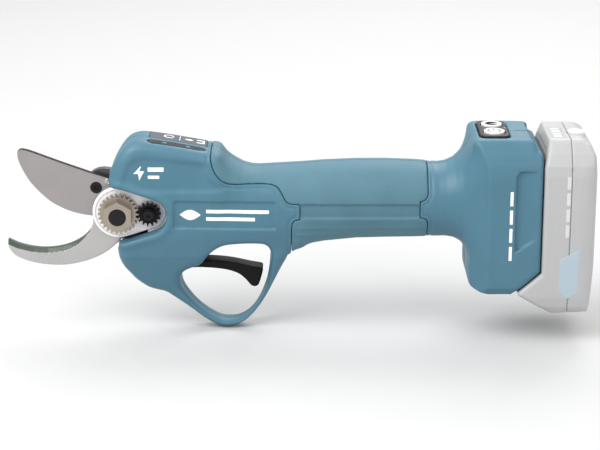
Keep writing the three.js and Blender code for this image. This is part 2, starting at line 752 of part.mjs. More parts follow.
function addPivot() {
  const at = [PIVOT.x, PIVOT.z];
  const bolt = join(
    bar("Y", BOLT_R, [NUT_FRONT - 0.3, BOLT_HEAD[0] + 0.5], at, 24),
    hexBar("Y", 13, BOLT_HEAD, at),
    bar("Y", 8, [BOLT_HEAD[0], BOLT_HEAD[0] + 1.4], at, 24),
  );
  add("pivot_bolt", bolt, BLACK_STEEL);

  const lockHub = [PIVOT.x + LOCK_CENTRE, PIVOT.z];
  const teethFrom = FLANGE_FRONT + 0.2;
  const flange = gear(NUT_TEETH, LOCK_MODULE, "XZ", FLANGE_FRONT, FLANGE_BACK, { share: 0.36 });
  const lock = gear(LOCK_TEETH, LOCK_MODULE, "XZ", teethFrom, FLANGE_BACK, { share: 0.36 });
  const nut = cut(
    join(flange.translate(PIVOT.x, 0, PIVOT.z), hexBar("Y", NUT_FLATS, [NUT_FRONT, FLANGE_FRONT + 1], at)),
    bar("Y", BOLT_BORE_R, [-20, 0], at, 24),
  );
  add("blade_nut", nut, BRONZE);
  const lockGear = cut(
    join(lock.translate(lockHub[0], 0, lockHub[1]), bar("Y", 3.6, [-14, FLANGE_FRONT + 1], lockHub, 20)),
    bar("Y", 1.9, [-20, 0], lockHub, 12),
    bar("Y", 2.9, [-20, -12.5], lockHub, 16),
  );
  add("lock_gear", lockGear, BLACK);
  const lockScrew = cut(
    join(bar("Y", 2.6, [-14.6, -12.8], lockHub, 16), bar("Y", 1.6, [-13, -6], lockHub, 12)),
    hexBar("Y", 2.5, [-16, -13.4], lockHub),
  );
  add("lock_screw", lockScrew, BLACK_STEEL);
}

// Cheek plates: polished castings either side of the blades. Their ears sit under the housing and
// two spacers, riveted to the right plate, hold them apart.
const EAR_SCREWS = [
  [-69.5, 77.7],
  [-69.5, 49.7],
];

function cheekPlate(face, inner) {
  const ears = EAR_SCREWS.map(([x, z]) => bar("Y", 3.9, inner, [x, z], 20));
  const neck = block([-78, -67.4], inner, [EAR_SCREWS[1][1], EAR_SCREWS[0][1]]);
  return cut(
    join(prism(cheekOutline(), "XZ", ...face, 8), neck, ...ears),
    bar("Y", BOLT_BORE_R, [-20, 20], [PIVOT.x, PIVOT.z], 24),
    onDriveLine(bar("X", 7, [14.5, 27])),
    ...(face[0] < 0 ? EAR_SCREWS.map((at) => bar("Y", 1.9, [-20, 20], at, 12)) : []),
  );
}

function addCheeks() {
  const lockHole = bar("Y", 1.9, [-20, 0], [PIVOT.x + LOCK_CENTRE, PIVOT.z], 12);
  const left = cut(cheekPlate(LEFT_CHEEK, [LEFT_CHEEK[0] + 0.8, LEFT_CHEEK[1]]), lockHole);
  const hookPins = HOOK_PINS.map((at) => bar("Y", 1.5, [LEFT_CHEEK[1] - 0.5, HOOK[1] - 0.6], at, 12));
  add("cheek_plate_left", join(left, ...hookPins), BRIGHT_CAST);
  const right = cheekPlate(RIGHT_CHEEK, [RIGHT_CHEEK[0], RIGHT_CHEEK[1] - 0.8]);
  const spacers = EAR_SCREWS.map((at) =>
    cut(
      bar("Y", 2.7, [LEFT_CHEEK[1] + GAP, RIGHT_CHEEK[0] + 0.5], at, 16),
      bar("Y", 1.6, [LEFT_CHEEK[1], 4], at, 12),
    ),
  );
  add("cheek_plate_right", join(right, ...spacers), BRIGHT_CAST);
  const headBack = LEFT_CHEEK[0] + 0.8 - GAP;
  EAR_SCREWS.forEach((at, i) => {
    const head = bar("Y", 3, [headBack - 1.9, headBack], at, 16);
    add(`cheek_screw_${i + 1}`, join(head, bar("Y", 1.3, [headBack - 0.5, 3.6], at, 12)), BLACK_STEEL);
  });
}

// ---------------------------------------------------------------- gear train on the drive axis
function addOutput() {
  const plate = cut(
    join(bar("X", 12, [CASE_FRONT, 39.5], [0, 0], 28), bar("X", GEARBOX_R, [39, CASE_BACK], [0, 0], 28)),
    bar("X", 8.2, [20, 30], [0, 0], 24),
    bar("X", BEARING_R + GAP, [28.2, 36.8], [0, 0], 24),
    bar("X", 4.5, [36, 42], [0, 0], 20),
    bar("X", 12, [40.9, 50], [0, 0], 24),
  );
  add("gear_case", plate, BRIGHT_CAST, driveLine);
  add("shaft_bearing", bearing(BEARING_R, 4.3, SHAFT_BEARING), GEAR_STEEL, driveLine);
  const shaft = join(
    bevelPinion(),
    bar("X", 4, [PINION_FAR - 0.5, 41.5], [0, 0], 20),
    bar("X", 11.5, [41.3, 43.3], [0, 0], 24),
    ...planetPlaces().map((at) => bar("X", 1.2, [43, 50.3], at, 10)),
  );
  add("output_shaft", shaft, GEAR_STEEL, driveLine);
}

const bearing = (outer, inner, span) =>
  cut(
    tube("X", outer, inner, span, [0, 0], 24),
    tube("X", outer * 0.8, inner + outer * 0.12, [span[0] - 1, span[0] + 0.4], [0, 0], 24),
    tube("X", outer * 0.8, inner + outer * 0.12, [span[1] - 0.4, span[1] + 1], [0, 0], 24),
  );

const planetPlaces = () =>
  Array.from({ length: PLANETS }, (_, i) => {
    const angle = (2 * Math.PI * i) / PLANETS;
    return [PLANET_ORBIT * Math.cos(angle), PLANET_ORBIT * Math.sin(angle)];
  });

function addPlanets() {
  for (const [stage, span] of [[2, STAGE_2], [1, STAGE_1]])
    for (let i = 0; i < PLANETS; i++) {
      const wheel = gear(PLANET_TEETH, GEAR_MODULE, "YZ", ...span);
      const planet = cut(wheel, bar("X", 1.5, [0, 80], [0, 0], 12));
      const placed = planet.translate(0, PLANET_ORBIT, 0).rotate([(360 * i) / PLANETS, 0, 0]);
      add(`planet_${stage}${"abc"[i]}`, placed, GEAR_STEEL, driveLine);
    }
}

function addStages() {
  const middle = join(
    gear(SUN_TEETH, GEAR_MODULE, "YZ", STAGE_2[0] - 0.2, 51.6),
    bar("X", 11.5, [51.3, 53.2], [0, 0], 24),
    ...planetPlaces().map((at) => bar("X", 1.2, [53, 59.8], at, 10)),
  );
  add("stage_carrier", middle, GEAR_STEEL, driveLine);
  const space = { share: 0.58, addendum: 1.25, dedendum: 0.7, flank: 0.3 };
  const teeth = gear(RING_TEETH, GEAR_MODULE, "YZ", RING_GEAR[0] - 1, RING_GEAR[1] + 1, space);
  add("ring_gear", cut(bar("X", GEARBOX_R, RING_GEAR, [0, 0], 28), teeth), GEAR_STEEL, driveLine);
}

// ---------------------------------------------------------------- motor
const MOTOR_SHAFT_R = 2;
const ROTOR_R = 8.9;
const STATOR_BORE_R = 9.5;
const YOKE_R = 12.6;

function statorTeeth(width, inner, outer, grow = 0) {
  const span = [STATOR[0] + 2.6 - grow, STATOR[1] - 2.6 + grow];
  const teeth = Array.from({ length: STATOR_TEETH }, (_, i) =>
    block(span, [-width / 2, width / 2], [0, 20]).rotate([(360 * i) / STATOR_TEETH, 0, 0]),
  );
  return common(tube("X", outer, inner, STATOR, [0, 0], 24), join(...teeth));
}

function addMotor() {
  const yoke = tube("X", GEARBOX_R, YOKE_R, STATOR, [0, 0], 28);
  add("motor_stator", join(yoke, statorTeeth(3.4, STATOR_BORE_R, YOKE_R + 0.5)), GEAR_STEEL, driveLine);
  const winding = cut(
    tube("X", YOKE_R - 0.4, STATOR_BORE_R + 0.5, [STATOR[0] + 0.4, STATOR[1] - 0.4], [0, 0], 24),
    statorTeeth(4, STATOR_BORE_R - 1, YOKE_R + 1, GAP),
  );
  add("motor_windings", winding, COPPER, driveLine);
  const sun = gear(SUN_TEETH, GEAR_MODULE, "YZ", STAGE_1[0], STAGE_1[1]);
  const rotor = join(
    sun,
    bar("X", MOTOR_SHAFT_R, [STAGE_1[0] + 0.2, REAR_CAP[1] + 1.5], [0, 0], 16),
    bar("X", ROTOR_R, [STATOR[0] + 1.5, STATOR[1] - 1.5], [0, 0], 24),
  );
  add("motor_rotor", rotor, BLACK_STEEL, driveLine);
  const ventHoles = planetPlaces().map((at) => bar("X", 1.8, [50, 110], at, 10));
  const frontCap = cut(tube("X", GEARBOX_R, MOTOR_SHAFT_R + 0.4, FRONT_CAP, [0, 0], 28), ...ventHoles);
  add("motor_front_cap", frontCap, BRIGHT_CAST, driveLine);
  const rearCap = cut(tube("X", GEARBOX_R, MOTOR_SHAFT_R + GAP, REAR_CAP, [0, 0], 28), ...ventHoles);
  add("motor_rear_cap", rearCap, BLACK, driveLine);
}

// ---------------------------------------------------------------- trigger
function triggerOutline() {
  return sketch(
    [-58, 32.4],
    { spline: [[-50, 32.5], [-42.5, 32.2], [-36.2, 31.1], [-31.4, 29.2], [-27.9, 26.3], [-25.1, 23]] },
    { spline: [[-23, 22.3], [-21.2, 23.2]] },
    { spline: [[-19.8, 27], [-18.8, 31.8]] },
    { spline: [[-25.1, 33.3], [-32.1, 35.1], [-39.1, 36.2], [-48.1, 36.9]] },
    [-62, 37.4],
    [-69.5, 38.6],
    { arc: [TRIGGER_PIN.x, TRIGGER_PIN.z, 4.4, 55, 285] },
  );
}

// A wire of round section along a path that turns about the Y axis or runs across it.
function wire(path, radius, around, sides = 6) {
  const rings = path.map((point, i) => {
    const before = path[Math.max(0, i - 1)];
    const after = path[Math.min(path.length - 1, i + 1)];
    const along = after.clone().sub(before).normalize();
    const side = around.clone().cross(along).normalize();
    const up = along.clone().cross(side);
    return Array.from({ length: sides }, (_, k) => {
      const angle = (2 * Math.PI * k) / sides;
      const offset = side.clone().multiplyScalar(radius * Math.cos(angle));
      return point.clone().add(offset).addScaledVector(up, radius * Math.sin(angle));
    });
  });
  return loft(rings);
}

function addTrigger() {
  const at = [TRIGGER_PIN.x, TRIGGER_PIN.z];
  const body = prism(triggerOutline(), "XZ", -TRIGGER_HALF_WIDTH, TRIGGER_HALF_WIDTH, 3);
  add("trigger", cut(body, bar("Y", 1.8, [-10, 10], at, 16)), BLACK);
  add("trigger_pin", bar("Y", 1.5, [-12.7, 12.7], at, 16), GEAR_STEEL);

  // Torsion spring round the pin, beside the trigger: its ends rest on the trigger and on the chin.
  const turns = 3;
  const perTurn = 10;
  const coilR = 2.7;
  const coil = Array.from({ length: turns * perTurn + 1 }, (_, i) => {
    const angle = rad(200) + (2 * Math.PI * i) / perTurn;
    const y = 6.4 + (3 * i) / (turns * perTurn);
    return new THREE.Vector3(at[0] + coilR * Math.cos(angle), y, at[1] + coilR * Math.sin(angle));
  });
  add("trigger_spring", wire(coil, 0.4, Y_AXIS), GEAR_STEEL);

  const microswitch = join(
    block([-66, -58.6], [-5, 5], [40.6, 49.4]),
    block([-63.2, -61.4], [-1.2, 1.2], [39.2, 41]),
    ...[-3, 0, 3].map((y) => block([-59, -57.2], [y - 0.4, y + 0.4], [43.5, 46])),
  );
  add("trigger_switch", microswitch, BLACK);
}

// ---------------------------------------------------------------- foot, battery guide and terminals
function addController() {
  const capacitors = [-9, 9].map((y) => bar("X", 4, [91.6, 99.8], [y, 66], 16));
  const chips = [-15, -9, -3, 3, 9, 15].map((y) => block([98.6, 99.8], [y - 2.4, y + 2.4], [48, 54]));
  const sockets = [-12, 12].map((y) => block([95.4, 99.8], [y - 4, y + 4], [77, 82.5]));
  const plate = block([99.6, 101.2], [-21, 21], [45, 86]);
  add("controller_board", join(plate, ...capacitors, ...chips, ...sockets), BOARD);
}

const TONGUE = { x: [114, 116.5], y: 25.6, z: [45, 90] };

const guideTongues = (grow = 0) =>
  block(
    [TONGUE.x[0] - grow, TONGUE.x[1] + grow],
    [-TONGUE.y - grow, TONGUE.y + grow],
    [TONGUE.z[0] - grow, TONGUE.z[1] + grow],
  );

// The T-shaped slide: the pack carries the T, the guide in the foot carries the matching channel.
const SLIDE = { head: [113.2, 119.2], headHalf: 20.5, neckHalf: 17.5, top: 95 };
const TERMINALS = [-8, 0, 8];

function addGuide() {
  const side = polygon([
    [110.5, 26.6],
    [122.9, 37.8],
    [122.9, 92],
    [124.2, 100.6],
    [123.6, 102.8],
    [122, 103.9],
    [110.5, 103.9],
  ]);
  const sides = 24.1;
  const frontView = [[sides, 26], [sides, 91], [22.6, 97], [20, 101.5], [17, 103.9]];
  const channelTop = 97;
  const ends = prism(mirroredAcrossSketchY(frontView), "YZ", 100, 130);
  const frame = common(prism(side, "XZ", -sides, sides), ends);
  const body = cut(
    join(frame, guideTongues()),
    block(
      [SLIDE.head[0] - GAP, SLIDE.head[1] + 0.4],
      [-SLIDE.headHalf - 0.4, SLIDE.headHalf + 0.4],
      [10, channelTop],
    ),
    block([118, 130], [-SLIDE.neckHalf - 0.4, SLIDE.neckHalf + 0.4], [10, channelTop]),
    block([109, 114], [-6.5, 6.5], [10, 36]),
    block([113, 119.4], [-12.6, 12.6], [90, 101.6]),
  );
  add("battery_guide", body, BLACK);
  const blades = TERMINALS.map((y) => block([114.2, 117.6], [y - 0.4, y + 0.4], [84.5, 98]));
  add("terminal_block", join(block([113.4, 119], [-12.3, 12.3], [97.3, 101.3]), ...blades), BRASS);
}

// ---------------------------------------------------------------- battery pack
function packBody() {
  const side = polygon([
    [111.4, 26.1],
    [111.9, 25],
    [128.5, PACK_BOTTOM],
    [146.8, 16.2],
    [149.4, 24.5],
    [PACK_BACK, 40],
    [PACK_BACK, 88],
    [149.8, 98.6],
    [144, PACK_TOP],
    [126, PACK_TOP],
    [PACK_FRONT, 92],
    [PACK_FRONT, 36.8],
  ]);
  const halfWidths = [
    [100, PACK_HALF_WIDTH],
    [144.5, PACK_HALF_WIDTH],
    [148.6, 27],
    [150.6, 23],
    [PACK_BACK, 19],
  ];
  const heights = [
    [25.5, PACK_BOTTOM - 1],
    [28.2, 19],
    [PACK_HALF_WIDTH, 24],
    [PACK_HALF_WIDTH, 88],
    [28.2, 93.4],
    [25.4, 98.8],
    [21.6, 103],
    [18.5, PACK_TOP],
  ];
  const tHead = block(SLIDE.head, [-SLIDE.headHalf, SLIDE.headHalf], [30, SLIDE.top]);
  const tNeck = block(
    [SLIDE.head[1] - 0.5, PACK_FRONT + 0.5],
    [-SLIDE.neckHalf, SLIDE.neckHalf],
    [34, SLIDE.top],
  );
  const body = common(
    prism(side, "XZ", -PACK_HALF_WIDTH, PACK_HALF_WIDTH),
    prism(mirroredAcrossSketchX(halfWidths), "XY", 10, 110),
    prism(mirroredAcrossSketchY(heights), "YZ", 100, 160),
  );
  return join(body, tHead, tNeck);
}

const CELLS = [-18.4, 0, 18.4];
const CELL_FOOT = 26.6;
const CELL_TOP = CELL_FOOT + CELL_LENGTH;
const PACK_SCREWS = [
  [-20.5, 22],
  [20.5, 22],
];
const GAUGE = { x: 141.2, y: -4.5, rx: 4.2, ry: 5 };

function packHollow() {
  const cellSpan = [CELL_FOOT - GAP, CELL_TOP + 1.2];
  return join(
    ...CELLS.map((y) => bar("Z", CELL_R + 0.2, cellSpan, [PACK_SPLIT, y], 24)),
    block([PACK_SPLIT - 3.5, PACK_SPLIT + 3.5], [-24, 24], [CELL_TOP, CELL_TOP + 1.2]),
    block([124.9, 129], [-16.5, 16.5], [CELL_FOOT + 3, 100.5]),
    block([124.9, 145.5], [-16.5, 16.5], [CELL_TOP + 1, 100.5]),
  );
}

const LATCH_TRAVEL = 2;

function latchShape() {
  const button = polygon([[113.4, 22.7], [120.4, 18.6], [121.9, 21.2], [117.8, 25.5], [114.8, 25.2]]);
  return join(
    prism(button, "XZ", -9, 9),
    block([114.4, 117.8], [-6, 6], [22, 33.5]),
    block([111.2, 114.6], [-6, 6], [30, 33.5]),
  );
}

function latchPocket() {
  const button = polygon([[112.9, 22.4], [120.5, 17.8], [122.5, 21.2], [118.1, 25.9], [114.5, 25.6]]);
  const sweep = [0, LATCH_TRAVEL / 2 + 0.15, LATCH_TRAVEL + GAP];
  return join(
    ...sweep.map((shift) => prism(button, "XZ", -9.3, 9.3).translate(shift, 0, 0)),
    block([114.1, 117.8 + LATCH_TRAVEL + GAP], [-6.3, 6.3], [20, 33.8]),
    block([110, 114.6], [-6.3, 6.3], [29.7, 33.8]),
    bar("X", 2.7, [117, 122.2], [0, 30], 16),
  );
}

function addPack() {
  const [slotFrom, slotTo] = [113.8, 118.9];
  const slots = TERMINALS.flatMap((y) => [
    block([slotFrom, slotTo], [y - 1.6, y + 1.6], [84, SLIDE.top + 1]),
    block([slotFrom, 125.4], [y - 0.9, y + 0.9], [85.5, 90.5]),
  ]);
  const screwHoles = PACK_SCREWS.flatMap((at) => [
    bar("X", 1.8, [126, 151], at, 12),
    bar("X", 3.2, [146, 155], at, 16),
  ]);
  const gaugeHole = ellipseBar(GAUGE.rx + 0.35, GAUGE.ry + 0.35, 99, 110, GAUGE.x, GAUGE.y);
  const shell = cut(packBody(), packHollow(), latchPocket(), ...slots, ...screwHoles, gaugeHole);
  const front = common(shell, block([100, PACK_SPLIT - GAP / 2], [-30, 30], [0, 120]));
  const rear = common(shell, block([PACK_SPLIT + GAP / 2, 160], [-30, 30], [0, 120]));
  add("battery_case_front", front, PACK_GREY);
  add("battery_case_rear", rear, PACK_GREY);

  PACK_SCREWS.forEach((at, i) => {
    const screw = join(bar("X", 2.8, [146.3, 148], at, 14), bar("X", 1.5, [128, 146.5], at, 10));
    add(`battery_screw_${i + 1}`, screw, BLACK_STEEL);
  });
  const gaugeButton = join(
    ellipseBar(GAUGE.rx, GAUGE.ry, 101.5, PACK_TOP + 0.5, GAUGE.x, GAUGE.y),
    bar("Z", 1.2, [99.8, 102], [GAUGE.x, GAUGE.y], 10),
  );
  add("gauge_button", gaugeButton, WHITE);
}

function addPackInside() {
  CELLS.forEach((y, i) => {
    const can = bar("Z", CELL_R, [CELL_FOOT, CELL_TOP - 0.6], [PACK_SPLIT, y], 24);
    const nub = bar("Z", 3, [CELL_TOP - 1, CELL_TOP], [PACK_SPLIT, y], 12);
    add(`cell_${i + 1}`, join(can, nub), CELL_WRAP);
  });
  const upright = block([125.2, 126.6], [-16, 16], [CELL_FOOT + 4, 98.6]);
  const strapZ = [CELL_TOP + 0.4, CELL_TOP + 0.8];
  const strap = block([126, 139.6], [-3, 3], strapZ);
  const gaugeBoard = block([125.5, 145], [-16, 16], [97.4, 98.6]);
  const switchDome = block([GAUGE.x - 2, GAUGE.x + 2], [GAUGE.y - 2, GAUGE.y + 2], [98.4, 99.2]);
  const clips = TERMINALS.map((y) =>
    join(
      block([114.2, 118.3], [y - 1.2, y - 0.75], [84.4, 92.5]),
      block([114.2, 118.3], [y + 0.75, y + 1.2], [84.4, 92.5]),
      block([118, 118.6], [y - 1.2, y + 1.2], [84.4, 92.5]),
      block([118.4, 125.4], [y - 0.5, y + 0.5], [86, 90]),
    ),
  );
  const straps = block([134.4, 139.6], [-23.5, 23.5], strapZ);
  add("battery_board", join(upright, gaugeBoard, switchDome, strap, straps, ...clips), BOARD);
  add("battery_latch", latchShape(), PACK_GREY);
  const turns = 4;
  const perTurn = 8;
  const coil = Array.from({ length: turns * perTurn + 1 }, (_, i) => {
    const angle = (2 * Math.PI * i) / perTurn;
    const x = 118.5 + (3.2 * i) / (turns * perTurn);
    return new THREE.Vector3(x, 1.9 * Math.cos(angle), 30 + 1.9 * Math.sin(angle));
  });
  add("latch_spring", wire(coil, 0.35, X_AXIS), GEAR_STEEL);
}

addHousing();
addHousingScrews();
addDisplay();
addSwitchPanel();
addBlades();
addPivot();
addCheeks();
addOutput();
addPlanets();
addStages();
addMotor();
addTrigger();
addController();
addGuide();
addPack();
addPackInside();

export default assembly;
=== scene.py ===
"""Looks of the battery electric pruner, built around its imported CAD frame."""

import json
import math

import bmesh
import bpy
import numpy as np
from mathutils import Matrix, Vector


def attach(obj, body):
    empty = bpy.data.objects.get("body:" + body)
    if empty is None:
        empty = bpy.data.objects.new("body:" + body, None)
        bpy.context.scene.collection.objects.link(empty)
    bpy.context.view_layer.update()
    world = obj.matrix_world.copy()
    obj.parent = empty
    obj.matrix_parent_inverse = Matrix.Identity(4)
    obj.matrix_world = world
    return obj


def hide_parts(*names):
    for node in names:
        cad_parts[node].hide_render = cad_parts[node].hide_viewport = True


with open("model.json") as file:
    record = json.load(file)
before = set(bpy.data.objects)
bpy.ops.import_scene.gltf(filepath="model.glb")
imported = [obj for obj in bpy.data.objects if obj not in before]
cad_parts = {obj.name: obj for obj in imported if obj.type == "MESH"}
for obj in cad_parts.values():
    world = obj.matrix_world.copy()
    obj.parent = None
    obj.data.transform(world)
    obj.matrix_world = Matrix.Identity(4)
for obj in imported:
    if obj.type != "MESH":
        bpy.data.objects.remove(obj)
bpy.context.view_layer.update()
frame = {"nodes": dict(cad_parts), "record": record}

MM = 0.001
MOST_QUADS = 88000  # a mesh with more than this is thinned out
STEP = 0.6  # size of the cells that the moulded shapes are meshed with, mm

# The layout that the CAD model has, in mm; a pair is x and z unless it says otherwise
PIVOT = (-92.7, 63.7)
TILT = math.radians(2.5)  # of the motor's axis, which rises to the back
LOCK_X = PIVOT[0] + 15.58
ARM_SCREW = (-104.9, 74.6)
CHEEK_SCREWS = [(-69.5, 77.7), (-69.5, 49.7)]
DISPLAY_TILT = math.radians(9)
DISPLAY_AT = (-62.0, 98.6)
BUTTON_X, BUTTON_Y = 99.2, 7.6
GAUGE = (141.2, -4.5)  # x and y
GUIDE_TOP = 96.3  # where the pack's rail stops in the foot
SPLIT = 137.0  # x at which the pack's two shells meet
SPLIT_GAP = 0.02

# Small measures that the fine shapes share, in mm
SEAM = 0.08  # half the gap between shell and grip
WINDOW_SUNK = 0.25  # the lamp window lies this far under the head's surface
RAIL_PLAY = 0.025
WALL_SPARE = 0.125
THROUGH = (-20, 20)  # a span in y that goes right through blades and bearing plates
SMALL_STEP = 0.3  # cells of the small moulded pieces
LEVER_STEP = 0.35
PRINT_STEP = 0.22  # cells of the printed films
BLADE_STEP = 0.4
GUIDE_STEP = 0.5


# ---------- distance fields
class Grid:
    """Places in a box, in mm, at which a shape's distance field is held."""

    def __init__(self, low, high, step):
        self.low = np.array(low, float)
        self.step = step
        counts = np.ceil((np.array(high, float) - self.low) / step).astype(int) + 1
        axes = [self.low[k] + step * np.arange(counts[k]) for k in range(3)]
        self.x = axes[0].astype(np.float32)[:, None, None]
        self.y = axes[1].astype(np.float32)[None, :, None]
        self.z = axes[2].astype(np.float32)[None, None, :]

    def side(self, outline):
        """Distance to an outline in x and z, the same for every y."""
        return flat(outline, self.x[:, :, 0], self.z[0, :, :])[:, None, :]

    def front(self, outline):
        return flat(outline, self.y[0, :, :], self.z[0, :, :])[None, :, :]

    def top(self, outline):
        return flat(outline, self.x[:, :, 0], self.y[:, :, 0].reshape(1, -1))[:, :, None]

    def box(self, x, y, z):
        return np.maximum(
            np.maximum(slab(self.x, *x), slab(self.y, *y)), slab(self.z, *z)
        )

    def bar_y(self, at, radius, y):
        """A round bar along y, with its axis at x and z."""
        from_wall = np.hypot(self.x - at[0], self.z - at[1]) - radius
        return np.maximum(from_wall, slab(self.y, *y))


def slab(values, low, high):
    """Distance to the space between two parallel planes."""
    return np.abs(values - (low + high) / 2) - (high - low) / 2


def flat(outline, a, b):
    """Signed distance from points (a, b) to a closed outline, negative inside."""
    nearest = np.full(np.broadcast(a, b).shape, 1e9, np.float32)
    inside = np.zeros(nearest.shape, bool)
    for (x0, y0), (x1, y1) in zip(outline, outline[1:] + outline[:1]):
        ex, ey = x1 - x0, y1 - y0
        length = ex * ex + ey * ey
        if length < 1e-9:
            continue
        t = np.clip(((a - x0) * ex + (b - y0) * ey) / length, 0, 1)
        nearest = np.minimum(nearest, (a - x0 - ex * t) ** 2 + (b - y0 - ey * t) ** 2)
        if ey:
            spans = (b >= min(y0, y1)) & (b < max(y0, y1))
            inside ^= spans & (a < x0 + (b - y0) * ex / ey)
    return (np.sqrt(nearest) * np.where(inside, -1, 1)).astype(np.float32)


def outline(points, per=5):
    """A closed smooth line through points; a point with a third item is a sharp corner."""
    count = len(points)
    places = [np.array(p[:2], float) for p in points]
    slopes = []
    for i, p in enumerate(points):
        if len(p) > 2:
            slopes.append(np.zeros(2))
        else:
            slopes.append((places[(i + 1) % count] - places[i - 1]) / 2)
    made = []
    for i in range(count):
        j = (i + 1) % count
        p, q, m, n = places[i], places[j], slopes[i], slopes[j]
        reach = np.linalg.norm(q - p)
        m = m * min(1, 1.3 * reach / max(np.linalg.norm(m), 1e-9))
        n = n * min(1, 1.3 * reach / max(np.linalg.norm(n), 1e-9))
        for t in np.arange(per) / per:
            made.append(
                (2 * t**3 - 3 * t**2 + 1) * p
                + (t**3 - 2 * t**2 + t) * m
                + (3 * t**2 - 2 * t**3) * q
                + (t**3 - t**2) * n
            )
    return [tuple(p) for p in made]


def mirrored(points):
    """Closes a line of (half width, z) points with its mirror image."""
    return [tuple(p) for p in points] + [(-p[0], p[1]) for p in reversed(points)]


def mirrored_across(points):
    """Closes a line of (x, half width) points with its mirror image."""
    return [tuple(p) for p in points] + [(p[0], -p[1]) for p in reversed(points)]


def round_max(a, b, k):
    """What two shapes share, with the edge between them rounded over a width k."""
    gap = np.maximum(k - np.abs(a - b), 0)
    return np.maximum(a, b) + gap * gap / (4 * k)


def round_min(a, b, k):
    """Two shapes joined, with the corner between them filled over a width k."""
    return -round_max(-a, -b, k)


def joined(*shapes):
    """Shapes together, with sharp corners between them."""
    made = shapes[0]
    for shape in shapes[1:]:
        made = np.minimum(made, shape)
    return made


def without(made, *shapes):
    """A shape with others cut out of it."""
    for shape in shapes:
        made = np.maximum(made, -shape)
    return made


def within(distance, blur):
    """1 inside a flat shape and 0 outside, with a soft edge."""
    t = np.clip(0.5 - distance / blur, 0, 1)
    return t * t * (3 - 2 * t)


def rounded_box(x, z, r):
    """Outline of a rectangle with round corners."""
    made = []
    for cx, cz, start in (
        (x[1] - r, z[1] - r, 0),
        (x[0] + r, z[1] - r, 90),
        (x[0] + r, z[0] + r, 180),
        (x[1] - r, z[0] + r, 270),
    ):
        for k in range(7):
            angle = math.radians(start + 15 * k)
            made.append((cx + r * math.cos(angle), cz + r * math.sin(angle)))
    return made


CORNERS = [(i, j, k) for i in (0, 1) for j in (0, 1) for k in (0, 1)]  # of a cell


def skin(field, grid):
    """Closed mesh of a field's zero surface: its corners, in mm, and its four-sided faces."""
    inside = field < 0
    total = np.zeros(tuple(n - 1 for n in field.shape), np.int8)
    ends = [slice(0, -1), slice(1, None)]
    for c in CORNERS:
        total += inside[ends[c[0]], ends[c[1]], ends[c[2]]]
    active = (total > 0) & (total < 8)
    cells = np.argwhere(active)
    index = np.full(active.shape, -1, np.int32)
    index[active] = np.arange(len(cells))
    value = {c: field[tuple((cells + c).T)] for c in CORNERS}
    places = np.zeros((len(cells), 3))
    crossings = np.zeros(len(cells))
    for c in CORNERS:
        for axis in range(3):
            if c[axis]:
                continue
            d = tuple(1 if k == axis else c[k] for k in range(3))
            f0, f1 = value[c], value[d]
            crossed = (f0 < 0) != (f1 < 0)
            t = np.where(crossed, f0 / np.where(crossed, f0 - f1, 1), 0)
            for k in range(3):
                places[:, k] += np.where(crossed, c[k] + (t if k == axis else 0), 0)
            crossings += crossed
    places = cells + places / crossings[:, None]
    places = settle(field, places)
    faces = []
    for axis in range(3):
        u, v = (axis + 1) % 3, (axis + 2) % 3
        low = [slice(None)] * 3
        high = [slice(None)] * 3
        low[axis], high[axis] = ends
        changes = np.argwhere(inside[tuple(low)] != inside[tuple(high)])
        fits = (changes[:, u] > 0) & (changes[:, v] > 0)
        fits &= (changes[:, u] < field.shape[u] - 1) & (changes[:, v] < field.shape[v] - 1)
        changes = changes[fits]
        ring = []
        for du, dv in ((-1, -1), (0, -1), (0, 0), (-1, 0)):
            cell = changes.copy()
            cell[:, u] += du
            cell[:, v] += dv
            ring.append(index[tuple(cell.T)])
        ring = np.stack(ring, 1)
        outward = inside[tuple(changes.T)]
        faces.append(np.where(outward[:, None], ring, ring[:, ::-1]))
    return grid.low + grid.step * places, np.concatenate(faces)


def sampled(field, places):
    """A field's value at places counted in cells, from the eight points round each."""
    base = np.clip(np.floor(places).astype(int), 0, np.array(field.shape) - 2)
    part = places - base
    value = np.zeros(len(places))
    for corner in CORNERS:
        weight = np.abs(1 - np.array(corner) - part).prod(1)
        value += weight * field[tuple((base + corner).T)]
    return value


def settle(field, places, rounds=2):
    """Moves points, in cells, onto the field's zero surface."""
    reach = 0.4
    longest = 0.35
    least_slope = 0.05
    for _ in range(rounds):
        value = sampled(field, places)
        slope = np.stack(
            [
                sampled(field, places + reach * np.eye(3)[k])
                - sampled(field, places - reach * np.eye(3)[k])
                for k in range(3)
            ],
            1,
        ) / (2 * reach)
        steep = np.maximum((slope**2).sum(1), least_slope)
        move = -(value / steep)[:, None] * slope
        places = places + np.clip(move, -longest, longest)
    return places


# ---------- making pieces
def link(name, mesh, body, paint, replaced=()):
    """Puts a mesh in the scene as a piece of a body; paint is one material or several."""
    piece = bpy.data.objects.new(name, mesh)
    bpy.context.scene.collection.objects.link(piece)
    for m in paint if isinstance(paint, (list, tuple)) else [paint]:
        mesh.materials.append(m)
    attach(piece, body)
    if replaced:
        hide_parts(*replaced)
    return piece


